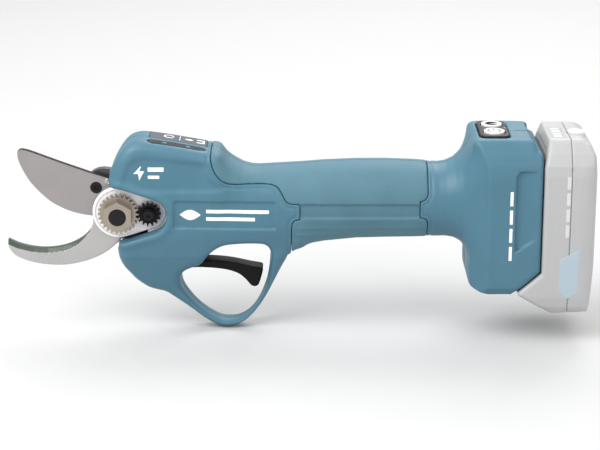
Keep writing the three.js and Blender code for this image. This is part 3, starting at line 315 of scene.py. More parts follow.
def moulded(name, field, grid, body, paint, replaced=(), whole=True):
    """A piece from a distance field; whole says that it is one lump, so that specks go."""
    places, quads = skin(field, grid)
    mesh = bpy.data.meshes.new(name)
    mesh.vertices.add(len(places))
    mesh.vertices.foreach_set("co", (places * MM).astype(np.float32).ravel())
    mesh.loops.add(4 * len(quads))
    mesh.loops.foreach_set("vertex_index", quads.astype(np.int32).ravel())
    mesh.polygons.add(len(quads))
    mesh.polygons.foreach_set("loop_start", np.arange(0, 4 * len(quads), 4, dtype=np.int32))
    mesh.polygons.foreach_set("use_smooth", np.ones(len(quads), bool))
    mesh.update(calc_edges=True)
    if whole:
        keep_largest(mesh)
    piece = link(name, mesh, body, paint, replaced)
    if len(quads) > MOST_QUADS:
        thin = piece.modifiers.new("thin", "DECIMATE")
        thin.ratio = MOST_QUADS / len(quads)
    return piece


def keep_largest(mesh):
    """Removes specks, so that a moulded piece is one body."""
    edges = np.zeros(2 * len(mesh.edges), np.int32)
    mesh.edges.foreach_get("vertices", edges)
    edges = edges.reshape(-1, 2)
    label = np.arange(len(mesh.vertices))
    while True:
        low = np.minimum(label[edges[:, 0]], label[edges[:, 1]])
        new = label.copy()
        np.minimum.at(new, edges[:, 0], low)
        np.minimum.at(new, edges[:, 1], low)
        new = new[new]
        if (new == label).all():
            break
        label = new
    names, counts = np.unique(label, return_counts=True)
    if len(names) == 1:
        return
    main = names[counts.argmax()]
    made = bmesh.new()
    made.from_mesh(mesh)
    made.verts.ensure_lookup_table()
    loose = [made.verts[int(i)] for i in np.nonzero(label != main)[0]]
    bmesh.ops.delete(made, geom=loose, context="VERTS")
    made.to_mesh(mesh)
    made.free()


def place(axis, a, b, c):
    """A point given as two coordinates in a plane and a third along the plane's axis."""
    return {"Y": (a, c, b), "X": (c, a, b), "Z": (a, b, c)}[axis]


def ring_solid(rings, axis="Y"):
    """bmesh through closed rings of (a, b, height along axis), capped at both ends."""
    made = bmesh.new()
    loops = []
    for ring in rings:
        loops.append([made.verts.new(Vector(place(axis, *p)) * MM) for p in ring])
    count = len(loops[0])
    for low, high in zip(loops, loops[1:]):
        for i in range(count):
            j = (i + 1) % count
            made.faces.new((low[i], low[j], high[j], high[i]))
    caps = [made.faces.new(loops[0]), made.faces.new(loops[-1])]
    bmesh.ops.triangulate(made, faces=caps)
    bmesh.ops.recalc_face_normals(made, faces=made.faces)
    return made


def finish_mesh(name, made, smooth=35):
    """A mesh whose edges are sharp where they bend by more than smooth degrees."""
    mesh = bpy.data.meshes.new(name)
    made.to_mesh(mesh)
    made.free()
    for polygon in mesh.polygons:
        polygon.use_smooth = True
    mesh.set_sharp_from_angle(angle=math.radians(smooth))
    return mesh


def join_meshes(*parts):
    """One bmesh from several, which are used up."""
    whole = bmesh.new()
    for part in parts:
        mesh = bpy.data.meshes.new("part")
        part.to_mesh(mesh)
        part.free()
        whole.from_mesh(mesh)
        bpy.data.meshes.remove(mesh)
    return whole


def circle(radius, at=(0, 0), sides=48, start=0.0):
    """Points round a circle, as a closed line."""
    angles = [start + 2 * math.pi * k / sides for k in range(sides)]
    return [(at[0] + radius * math.cos(t), at[1] + radius * math.sin(t)) for t in angles]


def turned(profile, at=(0, 0), axis="Y", sides=48):
    """A solid of revolution through (radius, height) points; radius 0 at both ends."""
    made = bmesh.new()
    loops = []
    for radius, height in profile:
        if radius < 1e-6:
            loops.append([made.verts.new(Vector(place(axis, at[0], at[1], height)) * MM)])
            continue
        loops.append(
            [
                made.verts.new(Vector(place(axis, a, b, height)) * MM)
                for a, b in circle(radius, at, sides)
            ]
        )
    for low, high in zip(loops, loops[1:]):
        for i in range(sides):
            j = (i + 1) % sides
            if len(low) == 1:
                made.faces.new((low[0], high[j], high[i]))
            elif len(high) == 1:
                made.faces.new((low[i], low[j], high[0]))
            else:
                made.faces.new((low[i], low[j], high[j], high[i]))
    bmesh.ops.recalc_face_normals(made, faces=made.faces)
    return made


# ---------- materials
MOTTLE_SCALE = 60  # broad noise cells in a metre
FINE_SHARE = 0.45  # how much of the fine noise is mixed into the broad one


PAINTS = {}  # every material under its name


def set_inputs(node, **values):
    """Sets sockets by name, where an underscore stands for a space."""
    for name, value in values.items():
        node.inputs[name.replace("_", " ")].default_value = value


def material(
    name, color, rough, metal=0.0, grain=0.0, grain_size=0.4, mottle=0.05,
    rough_spread=0.08, brushed=None, coat=0.0, specular=0.5,
):
    """Paint with colour variation, uneven gloss and a fine bump; sizes are in mm."""
    made = bpy.data.materials.new(name)
    PAINTS[name] = made
    made.use_nodes = True
    nodes, links = made.node_tree.nodes, made.node_tree.links
    shader = nodes["Principled BSDF"]
    set_inputs(shader, Metallic=metal, Coat_Weight=coat, Coat_Roughness=0.25)
    set_inputs(shader, Specular_IOR_Level=specular)
    where = nodes.new("ShaderNodeTexCoord")
    stretch = nodes.new("ShaderNodeMapping")
    links.new(where.outputs["Object"], stretch.inputs["Vector"])
    if brushed:
        set_inputs(stretch, Scale=brushed)
    broad = nodes.new("ShaderNodeTexNoise")
    set_inputs(broad, Scale=MOTTLE_SCALE, Detail=5)
    links.new(where.outputs["Object"], broad.inputs["Vector"])
    fine = nodes.new("ShaderNodeTexNoise")
    set_inputs(fine, Scale=1 / (grain_size * MM), Detail=3)
    links.new(stretch.outputs["Vector"], fine.inputs["Vector"])
    ramp = nodes.new("ShaderNodeValToRGB")
    dark = [c * (1 - mottle) for c in color]
    light = [min(1, c * (1 + mottle)) for c in color]
    ramp.color_ramp.elements[0].position = 0.3
    ramp.color_ramp.elements[1].position = 0.7
    ramp.color_ramp.elements[0].color = (*dark, 1)
    ramp.color_ramp.elements[1].color = (*light, 1)
    blend = nodes.new("ShaderNodeMath")
    blend.operation = "MULTIPLY_ADD"
    links.new(fine.outputs["Fac"], blend.inputs[0])
    blend.inputs[1].default_value = FINE_SHARE
    links.new(broad.outputs["Fac"], blend.inputs[2])
    shift = nodes.new("ShaderNodeMath")
    shift.operation = "SUBTRACT"
    links.new(blend.outputs[0], shift.inputs[0])
    shift.inputs[1].default_value = FINE_SHARE / 2
    links.new(shift.outputs[0], ramp.inputs["Fac"])
    links.new(ramp.outputs["Color"], shader.inputs["Base Color"])
    gloss = nodes.new("ShaderNodeMapRange")
    set_inputs(gloss, From_Min=0.3, To_Min=max(0.03, rough - rough_spread))
    set_inputs(gloss, From_Max=0.7, To_Max=min(1, rough + rough_spread))
    links.new(shift.outputs[0], gloss.inputs["Value"])
    links.new(gloss.outputs["Result"], shader.inputs["Roughness"])
    if grain:
        bump = nodes.new("ShaderNodeBump")
        set_inputs(bump, Strength=grain, Distance=grain_size * MM)
        links.new(fine.outputs["Fac"], bump.inputs["Height"])
        links.new(bump.outputs["Normal"], shader.inputs["Normal"])
    return made


TEAL = material(
    "teal_plastic", (0.0515, 0.150, 0.209), 0.5, grain=0.12, grain_size=0.5, mottle=0.04
)
GRIP = material(
    "grip_rubber", (0.062, 0.157, 0.203), 0.6, grain=0.3, grain_size=0.55, mottle=0.09
)
BLACK = material(
    "black_plastic", (0.012, 0.012, 0.014), 0.42, grain=0.15, mottle=0.15, specular=0.3
)
TRIGGER = material(
    "trigger_plastic", (0.006, 0.0055, 0.006), 0.42, grain=0.12, mottle=0.15, specular=0.14
)
# lighter copy of the trigger plastic for the lever's upward faces: a painted highlight where the
# top light falls
TRIGGER_PAINTED_HIGHLIGHT = material(
    "trigger_top_painted_highlight", (0.016, 0.0145, 0.016), 0.5, grain=0.12, mottle=0.1, specular=0.12
)
GAUGE_GREY = material("gauge_grey", (0.33, 0.33, 0.34), 0.4, mottle=0.03)
SCREEN = material("screen", (0.018, 0.022, 0.026), 0.45, mottle=0.08, specular=0.12)
LABEL = material("label_film", (0.085, 0.10, 0.115), 0.55, grain=0.05, mottle=0.05, specular=0.2)
PRINT = material("white_print", (0.86, 0.87, 0.87), 0.5, mottle=0.02)
SYMBOL = material("dark_print", (0.06, 0.065, 0.07), 0.5, mottle=0.05)
LAMP = material("red_lamp", (0.40, 0.02, 0.03), 0.3, mottle=0.1)
LENS = material("lamp_lens", (0.13, 0.14, 0.15), 0.45, specular=0.2)
material("button_white", (0.66, 0.66, 0.66), 0.45, mottle=0.02)
STEEL = material(
    "blade_steel", (0.36, 0.335, 0.335), 0.36, metal=0.85, grain=0.22, grain_size=0.25,
    brushed=(1, 1, 0.06), rough_spread=0.1,
)
# near-black for the blade's upward-facing spine: painted shade along the top edge in place of the
# steel's reflection
SPINE_PAINTED_SHADE = material("spine_painted_shade", (0.03, 0.028, 0.026), 0.6, metal=0.2, specular=0.1)
HOOK = material(
    "hook_steel", (0.49, 0.482, 0.475), 0.36, metal=0.85, grain=0.2, grain_size=0.25,
    brushed=(0.06, 1, 1), rough_spread=0.1,
)
# dark green for the hook's ground bevel: a painted dark reflection on steel that is bright under
# any lamp
HOOK_BEVEL_PAINTED_REFLECTION = material(
    "hook_edge_painted_reflection", (0.06, 0.08, 0.062), 0.45, metal=0.5, grain=0.2, brushed=(0.06, 1, 1)
)
material(
    "black_oxide", (0.015, 0.015, 0.017), 0.38, metal=0.4, specular=0.2, grain=0.12, mottle=0.2
)
ARM = material("swing_arm", (0.10, 0.095, 0.095), 0.42, metal=0.7, grain=0.2, mottle=0.15)
CAST = material(
    "cast_alloy", (0.95, 0.93, 0.95), 0.3, metal=0.05, grain=0.03, grain_size=0.9, mottle=0.04
)
material(
    "nut_bronze", (0.36, 0.315, 0.265), 0.33, metal=0.85, grain=0.15, grain_size=0.3, mottle=0.08
)
material("lock_black", (0.003, 0.003, 0.004), 0.24, grain=0.1, mottle=0.2, specular=0.14)
GEAR = material(
    "gear_steel", (0.46, 0.47, 0.49), 0.3, metal=1, grain=0.15, grain_size=0.3, brushed=(0.08, 1, 1)
)
material("copper_winding", (0.60, 0.25, 0.10), 0.35, metal=0.9, grain=0.5, grain_size=0.35)
material("terminal_brass", (0.70, 0.53, 0.25), 0.3, metal=1, grain=0.1)
material("circuit_board", (0.02, 0.13, 0.06), 0.35, grain=0.1, mottle=0.2, coat=0.3)
PACK = material("battery_grey", (0.39, 0.39, 0.395), 0.40, grain=0.12, grain_size=0.5, mottle=0.02)
PACK_MARK = material("battery_print", (0.56, 0.56, 0.56), 0.45, mottle=0.02)
BLUE = material("pale_blue", (0.35, 0.43, 0.49), 0.4, mottle=0.02)
material("cell_wrap", (0.07, 0.22, 0.50), 0.25, coat=0.4, mottle=0.1)

# A CAD node takes the paint of its slot's name, apart from these
OTHER_PAINT = {"display_grey": "label_film", "dark_steel": "black_oxide"}
for part in frame["record"]["subparts"]:
    node = frame["nodes"][part["node"]]
    slot = part["material_slot"]
    node.data.materials.clear()
    node.data.materials.append(PAINTS[OTHER_PAINT.get(slot, slot)])
frame["nodes"]["swing_gear"].data.materials[0] = ARM


# ---------- housing shape
HEAD_SIDE = outline([
    (-40, 93.6), (-45.2, 96.4), (-61.9, 99.8), (-74.4, 101.9), (-80, 102.6), (-84.5, 101.8),
    (-88.5, 99.2), (-92.3, 94.2), (-95.7, 88.2), (-98.3, 82), (-97.9, 79, 1), (-96.5, 60, 1),
    (-93.3, 46.3, 1), (-92.9, 41.2), (-90.6, 35.5), (-87.4, 31.2), (-84.3, 27.4),
    (-78.7, 22.9), (-73.8, 21.1), (-69.7, 20), (-65.5, 17.2), (-57.1, 10.8), (-49.5, 4.8),
    (-43.9, 1.5), (-38.3, 0.1), (-32.1, 1.1), (-26.5, 4.6), (-21, 11.2), (-16.1, 19.5),
    (-11.2, 30.3), (-7, 39), (-2.8, 44.6), (3, 48.6), (3, 60, 1), (-38, 62, 1),
])
FINGER_HOLE = outline([
    (-61.5, 28), (-60.4, 21.8), (-55.1, 14.6), (-48.8, 8.9), (-41.8, 4.8), (-36.2, 3.9),
    (-30.7, 4.8), (-25.1, 8.6), (-20.3, 15.6), (-16.7, 25), (-15.3, 34.5), (-15.3, 43),
    (-17, 46.8), (-20.3, 48), (-28.6, 48), (-37, 47.1), (-41.8, 45), (-45.5, 41.8),
    (-51, 36.2), (-55.7, 34.2), (-59.6, 32),
])
HEAD_FRONT = mirrored([
    (7, -6), (7.2, 4), (7.8, 12), (9.6, 22), (13.2, 33), (16.2, 42), (17.5, 52),
    (17.6, 72), (17.3, 86), (16.6, 93), (15.4, 98.5), (14.4, 101.5), (12.6, 106),
])
HEAD_TOP = mirrored_across(
    [(-104, 6), (-99.5, 9.8), (-96.5, 13.2), (-92, 17), (-86, 20.5), (-78, 24), (10, 27)]
)
# x, top, bottom, half width, squareness
HANDLE = np.array([
    (-60, 90, 47, 15.4, 3.6),
    (-52, 90.5, 47, 16.2, 3.4),
    (-47, 93.4, 47, 17.2, 3.2),
    (-44, 94.6, 47, 17.7, 3.2),
    (-41.1, 94.5, 47, 18.1, 3.1),
    (-36.9, 92.6, 46.4, 18.6, 2.9),
    (-32.8, 90, 46, 19, 2.7),
    (-28.6, 87.8, 45.8, 19.3, 2.5),
    (-24.4, 86.7, 45.6, 19.6, 2.4),
    (-20.3, 86.5, 45.3, 19.8, 2.3),
    (-12, 87.1, 45, 20.1, 2.2),
    (0.5, 87.9, 44.9, 20.4, 2.1),
    (13, 88.9, 47.2, 20.5, 2.1),
    (29.6, 89.6, 48.9, 20.6, 2.1),
    (45, 89.6, 49.3, 20.5, 2.1),
    (58.8, 89.1, 49.5, 20.3, 2.1),
    (71.2, 88.1, 49.8, 20.1, 2.1),
    (75.4, 88.7, 50, 20.4, 2.15),
    (79.6, 90.4, 49.5, 21.1, 2.3),
    (83.7, 94, 47.6, 22, 2.6),
    (86.8, 98, 44.8, 23.2, 2.9),
    (92, 102.5, 41, 25, 3.4),
])
FOOT_SIDE = outline([
    (86.2, 95), (86.8, 101), (88.4, 104.2), (91.8, 105.6), (103, 105.7), (114, 105.5),
    (117.6, 105), (119.2, 102.8), (119.9, 100.4), (121.6, 99.4), (122.8, 98), (123, 95),
    (122.9, 87), (122.9, 37.4, 1), (108.7, 24.2, 1), (96.6, 24, 1), (88.6, 27.4),
    (86.8, 30.4), (86.2, 35), (86.1, 41),
])
FOOT_TOP_VIEW = mirrored_across([(86.2, 14), (87.4, 19.6), (96.1, 28.9), (100, 32.4), (124, 38)])
FOOT_FRONT = mirrored([
    (25.5, 24), (28.4, 29), (28.6, 34), (28.6, 84), (28.3, 89), (27.5, 93.4), (25.8, 98),
    (23.8, 101.4), (22.2, 104), (20.8, 107),
])
# The grips' three parts, seen from the side: over the top, a middle band and the underside
GRIP_REGION = [
    outline([
        (-44.8, 125, 1), (-44.8, 95), (-43.8, 89.5), (-41.4, 85.2), (-38, 82.2), (-33.3, 81),
        (-24, 80.8), (-15, 80.6), (-11, 79.2), (-8.6, 76), (-6.8, 72.8), (-4, 71.3),
        (8, 71.3), (30, 71.7), (58, 72.3), (63.2, 73), (65.4, 75.5), (65.6, 80), (65.6, 125, 1),
    ]),
    rounded_box((0.5, 61.6), (58, 76), 1.2),
    outline([
        (-3.8, 20, 1), (-3.8, 56), (-3.4, 60.6), (-1.4, 62.8), (4, 63.2), (30, 63.6),
        (60, 64), (64, 63.4), (65.5, 61), (65.6, 56), (65.6, 20, 1),
    ]),
]
FILLET = 5  # where head, handle and foot meet, and along the head's edges
STRIP = rounded_box((0.9, 61.2), (63.9, 71.1), 1.5)  # sunk band along the grip


def cheek_outline(grow=0.0):
    """The pear round the nut and the lock gear that the bearing plates have."""
    big, small = 13.5 + grow, 8.7 + grow
    apart = LOCK_X - PIVOT[0]
    lean = math.acos((big - small) / apart)
    made = []
    for k in range(49):
        angle = lean + (2 * math.pi - 2 * lean) * k / 48
        made.append((PIVOT[0] + big * math.cos(angle), PIVOT[1] + big * math.sin(angle)))
    for k in range(25):
        angle = -lean + 2 * lean * k / 24
        made.append((LOCK_X + small * math.cos(angle), PIVOT[1] + small * math.sin(angle)))
    return made


def handle_field(g):
    """A tube whose section changes along x by the rows of HANDLE."""
    x = g.x[:, 0, 0]
    top, bottom, half, square = (
        np.interp(x, HANDLE[:, 0], HANDLE[:, k]).astype(np.float32)[:, None, None]
        for k in range(1, 5)
    )
    tall = (top - bottom) / 2
    across = np.abs(g.y) / half
    up = np.abs(g.z - (top + bottom) / 2) / tall
    size = np.maximum(across**square + up**square, 1e-6) ** (1 / square)
    tube = (size - 1) * np.minimum(half, tall)
    return round_max(tube, slab(g.x, -58, 90), 3)


def body_field(g):
    """Outside of the whole housing, grips included."""
    low = np.clip((g.z - 30) / 45, 0, 1)
    hole = g.side(FINGER_HOLE)
    head = round_max(np.maximum(g.side(HEAD_SIDE), -hole), g.front(HEAD_FRONT), FILLET + 0.8 * low)
    head = round_max(head, g.top(HEAD_TOP), FILLET)
    foot = round_max(g.side(FOOT_SIDE), g.front(FOOT_FRONT), 3.4)
    foot = round_max(foot, g.top(FOOT_TOP_VIEW), 0.9)
    body = round_min(head, handle_field(g), FILLET)
    body = round_max(body, -hole, 0.3 + 3 * np.clip((g.z - 36) / 6, 0, 1))
    return round_min(body, foot, FILLET)


TOP_ONLY = 92  # the display's footprints end at this height, above the rest of the head


def tilted(g):
    """Place along the display's slope, from its middle."""
    c, s = math.cos(DISPLAY_TILT), math.sin(DISPLAY_TILT)
    return (g.x - DISPLAY_AT[0]) * c - (g.z - DISPLAY_AT[1]) * s


def label_field(g, grow=0.0):
    """Footprint of the display's label, on the far side of the head's top."""
    u = tilted(g)
    inner = (
        np.maximum(np.abs(u + 0.2) - 13.9, 0),
        np.maximum(np.abs(g.y - 4.6) - 5.6, 0),
    )
    return np.maximum(np.hypot(*inner) - 1.0 - grow, TOP_ONLY - g.z)


def window_field(g, grow=0.0):
    """Footprint of the long rounded lamp window, on the near side of the head's top."""
    past_end = np.maximum(np.abs(tilted(g) + 0.6) - 11.9, 0)
    return np.maximum(np.hypot(past_end, g.y + 7.9) - 3.1 - grow, TOP_ONLY - g.z)


def from_motor_axis(g):
    """Place along the motor's sloping axis, from the pivot, and height over it."""
    c, s = math.cos(TILT), math.sin(TILT)
    along = (g.x - PIVOT[0]) * c + (g.z - PIVOT[1]) * s
    up = (g.z - PIVOT[1]) * c - (g.x - PIVOT[0]) * s
    return along, up


def hollow_field(g):
    """The inside of the shells, where the works are."""
    head_side = [
        (-112, 84.5), (-93.4, 84.5), (-87.5, 92), (-81, 96.4), (-61, 95.6), (-42, 91.6),
        (-42, 51.5), (-56.5, 51.5), (-58, 37.5), (-63.5, 33), (-66.5, 24.2), (-74.5, 24.2),
        (-82.5, 30), (-90, 40.5), (-90.8, 46.3), (-112, 46.3),
    ]
    head_front = mirrored([(4.6, 22), (9.6, 36), (13.4, 47), (14.6, 54), (14.6, 86), (10, 97)])
    head_top = mirrored_across([(-112, 9.4), (-94.6, 9.4), (-86, 13.6), (-82, 14.6), (-40, 14.6)])
    head = np.maximum(np.maximum(g.side(head_side), g.front(head_front)), g.top(head_top))
    along, up = from_motor_axis(g)
    from_axis = np.hypot(g.y, up)
    wide = np.maximum(from_axis - 15, slab(along, 38, 108))
    narrow = np.maximum(from_axis - 14, slab(along, 107, 186))
    foot_top = mirrored_across([(91.5, 16), (95.5, 22.4), (99, 24.5), (108.5, 24.5)])
    foot_front = mirrored([(21, 30), (24.5, 34), (24.5, 88), (19, 98.5)])
    foot = np.maximum(np.maximum(g.top(foot_top), g.front(foot_front)), slab(g.x, 91.5, 108.5))
    keys = g.box((93.4, 105), (-14.6, 14.6), (97, 104))
    made = joined(head, wide, narrow, foot, keys)
    # A wall stands behind the shell's edge all round the bearing plate
    wall = np.maximum(g.side(cheek_outline(2.6)), slab(g.y, -16, -8.9))
    wall = without(wall, *[g.bar_y(at, 3.8, THROUGH) for at in CHEEK_SCREWS])
    return without(made, wall)


def openings_field(g):
    """Everything that is cut out of the shells from outside."""
    pear = g.side(cheek_outline(0.8))
    front = g.box((-140, PIVOT[0]), (-30, 30), (46.4, 77.9))
    slot = g.box((-140, -86), (-5.9, 9.4), (44, 87.5))
    trigger = np.maximum(
        g.side([(-66, 30.5), (-50, 29.5), (-40, 38), (-40, 46), (-66, 46)]),
        slab(g.y, -6.1, 6.1),
    )
    guide_front = mirrored([(24.4, 10), (24.4, 91.1), (22.9, 97.2), (20.3, 101.7), (17.2, 104.2)])
    guide_side = [
        (110.2, 20), (130, 20), (130, 97.3), (119.4, 97.5), (118.8, 103.6), (118, 106), (110.2, 106)
    ]
    guide = np.maximum(g.front(guide_front), g.side(guide_side))
    return joined(pear, front, slot, trigger, guide)


# x, z and the depth in y of the seats of the four screws on the far side
SCREWS = [(-73, 91.2, 12), (-84.5, 35.5, 8.5), (-9.6, 41.5, 12), (94.8, 38, 21)]
# Pressed panels, and the raised rib in front of the guide
NAMEPLATE = rounded_box((-63.9, -12), (57.8, 72.1), 1)
HEAD_PANEL = outline([
    (-89.6, 80), (-88.4, 86), (-86, 91), (-82.6, 93.6), (-76, 94.2), (-60, 92.6), (-48.8, 91),
    (-47.4, 87), (-45, 83), (-39, 78.4), (-60, 77.2), (-84, 77.4),
])
FOOT_RIB = [(109.6, 48.6), (109.6, 88), (111, 90.4), (120.4, 90.4), (120.4, 55.6)]


def shell_surface(g, body, region):
    """Outer face of the shells: the body with its pressed panels, rims and the second seam line."""
    on_side = np.clip((np.abs(g.y) - 9) / 3, 0, 1)
    pressed = 0.9 * within(g.side(NAMEPLATE), 0.8) + 0.9 * within(g.side(HEAD_PANEL), 3.5)
    rib = g.side(FOOT_RIB)
    slope = np.clip((120.4 - g.x) / 10.8, 0, 1)
    pressed = pressed + (0.3 + 1.9 * slope) * within(rib, 0.8)
    pear = g.side(cheek_outline(0.8))
    pressed = pressed - 0.75 * np.exp(-(((pear - 2.0) / 1.9) ** 2)) * (g.x > PIVOT[0] - 4)
    return body + pressed * on_side + 0.5 * np.exp(-(((region - 1.9) / 0.6) ** 2))


def housing_fields(g):
    """The shells and the grips, each still in one piece."""
    body = body_field(g)
    region = joined(*[g.side(part) for part in GRIP_REGION])
    shell = shell_surface(g, body, region)
    pocket = round_max(region - SEAM, -(body + 2.9), 0.5)
    shell = round_max(shell, -pocket, 0.8)
    shell = round_max(shell, -openings_field(g), 1.2)
    film = -(body + 0.8)
    shell = round_max(shell, -np.maximum(label_field(g, 0.15), film), 0.4)
    shell = round_max(shell, -np.maximum(window_field(g, 0.15), film - 0.6), 0.5)
    keys = g.top(rounded_box((91.4, 107), (-16.9, 16.9), 4.2))
    shell = round_max(shell, -np.maximum(keys, 103.5 - g.z), 1)
    seats = [g.bar_y((x, z), 3.5, (seat, 40)) for x, z, seat in SCREWS]
    shell = without(shell, hollow_field(g), *seats)
    ridge = sum(np.exp(-(((g.z - at) / 0.5) ** 2)) for at in (58.4, 54.6))
    ridge = ridge * within(g.side(rounded_box((-1.6, 63.6), (40, 61), 1)), 1)
    sunk = 1.1 * within(g.side(STRIP), 1.0)
    grip = body - 0.12 + sunk - 0.35 * ridge * (g.z < 61.5)
    grip = round_max(grip, region + SEAM, 0.8)
    return shell, without(grip, body + 2.7)


def add_housing():
    g = Grid((-101, -31, -3), (126, 31, 109), STEP)
    shell, grip = housing_fields(g)
    for side, cut in (("left", g.y + 0.06), ("right", 0.06 - g.y)):
        half = round_max(shell, cut, 0.7)
        name = f"housing_{side}"
        moulded(f"{name}_shell", half, g, "housing", TEAL, [name])
        half = round_max(grip, cut, 0.7)
        name = f"grip_overmould_{side}"
        moulded(f"{name}_skin", half, g, "housing", GRIP, [name])


# ---------- printed marks
def bar_mark(a, b, lean=0.0):
    """A four-cornered bar, leaning by an amount at its top."""
    return [(a[0], b[0]), (a[1], b[0]), (a[1] + lean, b[1]), (a[0] + lean, b[1])]


def leaf_mark(x, z, length, wide):
    """A plain leaf: two arcs that meet in points."""
    upper = [(x + length * k / 10, z + wide * math.sin(math.pi * k / 10)) for k in range(11)]
    lower = [(x + length * k / 10, z - wide * math.sin(math.pi * k / 10)) for k in range(9, 0, -1)]
    return upper + lower


def flash_mark(x, z, size):
    """A plain lightning flash."""
    points = [(0.1, -1), (0.75, 0.2), (0.15, 0.2), (0.5, 1), (-0.6, -0.15), (0.0, -0.15)]
    return [(x + size * a, z + size * b) for a, b in points]


def ring_mark(at, outer, inner, turn=(0, 320)):
    """Part of a ring, as one closed line."""
    angles = [math.radians(turn[0] + (turn[1] - turn[0]) * k / 16) for k in range(17)]
    out = [(at[0] + outer * math.cos(t), at[1] + outer * math.sin(t)) for t in angles]
    back = [(at[0] + inner * math.cos(t), at[1] + inner * math.sin(t)) for t in reversed(angles)]
    return out + back


def printed(name, rings, surface, reach, body, paint, axis="Y", proud=0.07):
    """A thin film in the shape of closed rings, on a surface; reach is its span along axis."""
    corners = np.array([p for ring in rings for p in ring])
    low, high = corners.min(0) - 0.8, corners.max(0) + 0.8
    if axis == "Y":
        g = Grid((low[0], reach[0], low[1]), (high[0], reach[1], high[1]), PRINT_STEP)
    else:
        g = Grid((low[0], low[1], reach[0]), (high[0], high[1], reach[1]), PRINT_STEP)
    view = g.side if axis == "Y" else g.top
    shape = joined(*[view(ring) for ring in rings])
    face = surface(g)
    film = np.maximum(shape, np.maximum(face - proud, -(face + 0.3)))
    return moulded(name, film, g, body, paint, whole=False)


def side_surface(g):
    """The shells' face far from the grips, so with no seam line."""
    far = np.float32(50)
    return shell_surface(g, body_field(g), far)


def add_prints():
    plate_mark = [
        leaf_mark(-61, 65, 11, 2.8),
        bar_mark((-47.4, -15.2), (66, 68)),
        bar_mark((-47.4, -22.4), (62, 64)),
    ]
    flash = [
        flash_mark(-81.6, 87, 4.3),
        bar_mark((-76.8, -68.6), (87.6, 89.8)),
        bar_mark((-76.8, -70.8), (83.8, 85.6)),
    ]
    foot = [bar_mark((106.2, 107.9), (44 + 9.6 * k, 51.6 + 9.6 * k)) for k in range(4)]
    for name, rings, reach in (
        ("nameplate_print", plate_mark, (-19.6, -13.5)),
        ("electric_print", flash, (-19.6, -13.5)),
        ("foot_print", foot, (-30, -26)),
    ):
        printed(name, rings, side_surface, reach, "housing", PRINT)


def window_surface(g):
    """The face of the sunk lamp window."""
    return body_field(g) + WINDOW_SUNK


def add_display():
    g = Grid((-80, -13.6, 93), (-44, 13, 105), SMALL_STEP)
    body = body_field(g)
    label = np.maximum(label_field(g), np.maximum(body - 0.03, -(body + 0.75)))
    window = np.maximum(window_field(g), np.maximum(body + WINDOW_SUNK, -(body + 1.3)))
    moulded("display_label", label, g, "housing", LABEL, ["display_panel"])
    moulded("display_window", window, g, "housing", SCREEN)
    symbols = [
        ring_mark((-66.8, 4.6), 2.9, 2.1, (20, 330)),
        bar_mark((-61.5, -61.1), (0.2, 9)),
        leaf_mark(-59, 4.8, 4.8, 1.2),
        bar_mark((-52.8, -48.6), (1.6, 2.8)),
        bar_mark((-52.8, -48.6), (6.4, 7.6)),
        bar_mark((-49.6, -48.6), (2.8, 6.4)),
    ]
    reach = (94, 105)
    printed(
        "display_symbols", symbols, body_field, reach, "housing", PRINT, "Z", 0.12
    )
    lamps = [circle(1.4, (x, -8), 16) for x in (-68.5, -56.5)]
    printed(
        "display_lamps", lamps, window_surface, reach, "housing", LENS, "Z", 0.1
    )


def add_switches():
    g = Grid((90.6, -18, 102.6), (108, 18, 107.4), SMALL_STEP)
    outer = g.top(rounded_box((91.8, 106.6), (-16.5, 16.5), 3.8))
    bezel = round_max(outer, slab(g.z, 104.4, 106.35), 0.8)
    for side in (-1, 1):
        inner = (np.hypot((g.x - BUTTON_X) / 5.7, (g.y - side * BUTTON_Y) / 6.4) - 1) * 5.5
        bezel = round_max(bezel, -inner, 0.4)
    moulded("switch_frame", bezel, g, "housing", BLACK, ["switch_bezel"])
    profile = [(0, 106), (0.9, 106), (0.9, 106.4), (0.6, 106.6), (0, 106.7)]
    lamp = turned(profile, (105.2, 0), "Z", 16)
    link("power_lamp", finish_mesh("power_lamp", lamp), "housing", LAMP)
    for body, side in (("power_key", -1), ("mode_key", 1)):
        at = (BUTTON_X, side * BUTTON_Y)
        if side < 0:
            stroke = bar_mark((at[0] - 0.35, at[0] + 0.35), (at[1] + 1.4, at[1] + 4.2))
            rings = [ring_mark(at, 3.5, 2.8, (125, 415)), stroke]
        else:
            rings = [ring_mark(at, 3.5, 2.8, (20, 340))]
        films = []
        for ring in rings:
            low, high = [[(a, b, z) for a, b in ring] for z in (106.6, 106.97)]
            films.append(ring_solid([low, high], "Z"))
        name = f"{body}_symbol"
        link(name, finish_mesh(name, join_meshes(*films), 60), body, SYMBOL)


# ---------- trigger
TRIGGER_SIDE = outline([
    (-58, 32.4), (-54, 32.7), (-50, 32.7), (-42.5, 32.2), (-36.2, 31.1), (-31.4, 29.2),
    (-27.9, 26.3), (-25.1, 23), (-23, 22.3), (-21.2, 23.2), (-19.8, 27), (-18.8, 31.4),
    (-19.6, 32.6), (-25.1, 33.6), (-32.1, 35.2), (-39.1, 36.3), (-48.1, 36.9), (-62, 37.4),
    (-69.5, 38.4, 1), (-74.6, 38.4), (-76.4, 35), (-74.6, 31.4), (-69, 31),
])
TRIGGER_UPPER = outline([
    (-82, 35.4), (-60, 34.4), (-48, 34), (-39, 33.4), (-32, 32.3), (-25, 30.6), (-14, 28.4),
    (-14, 60, 1), (-82, 60, 1),
])


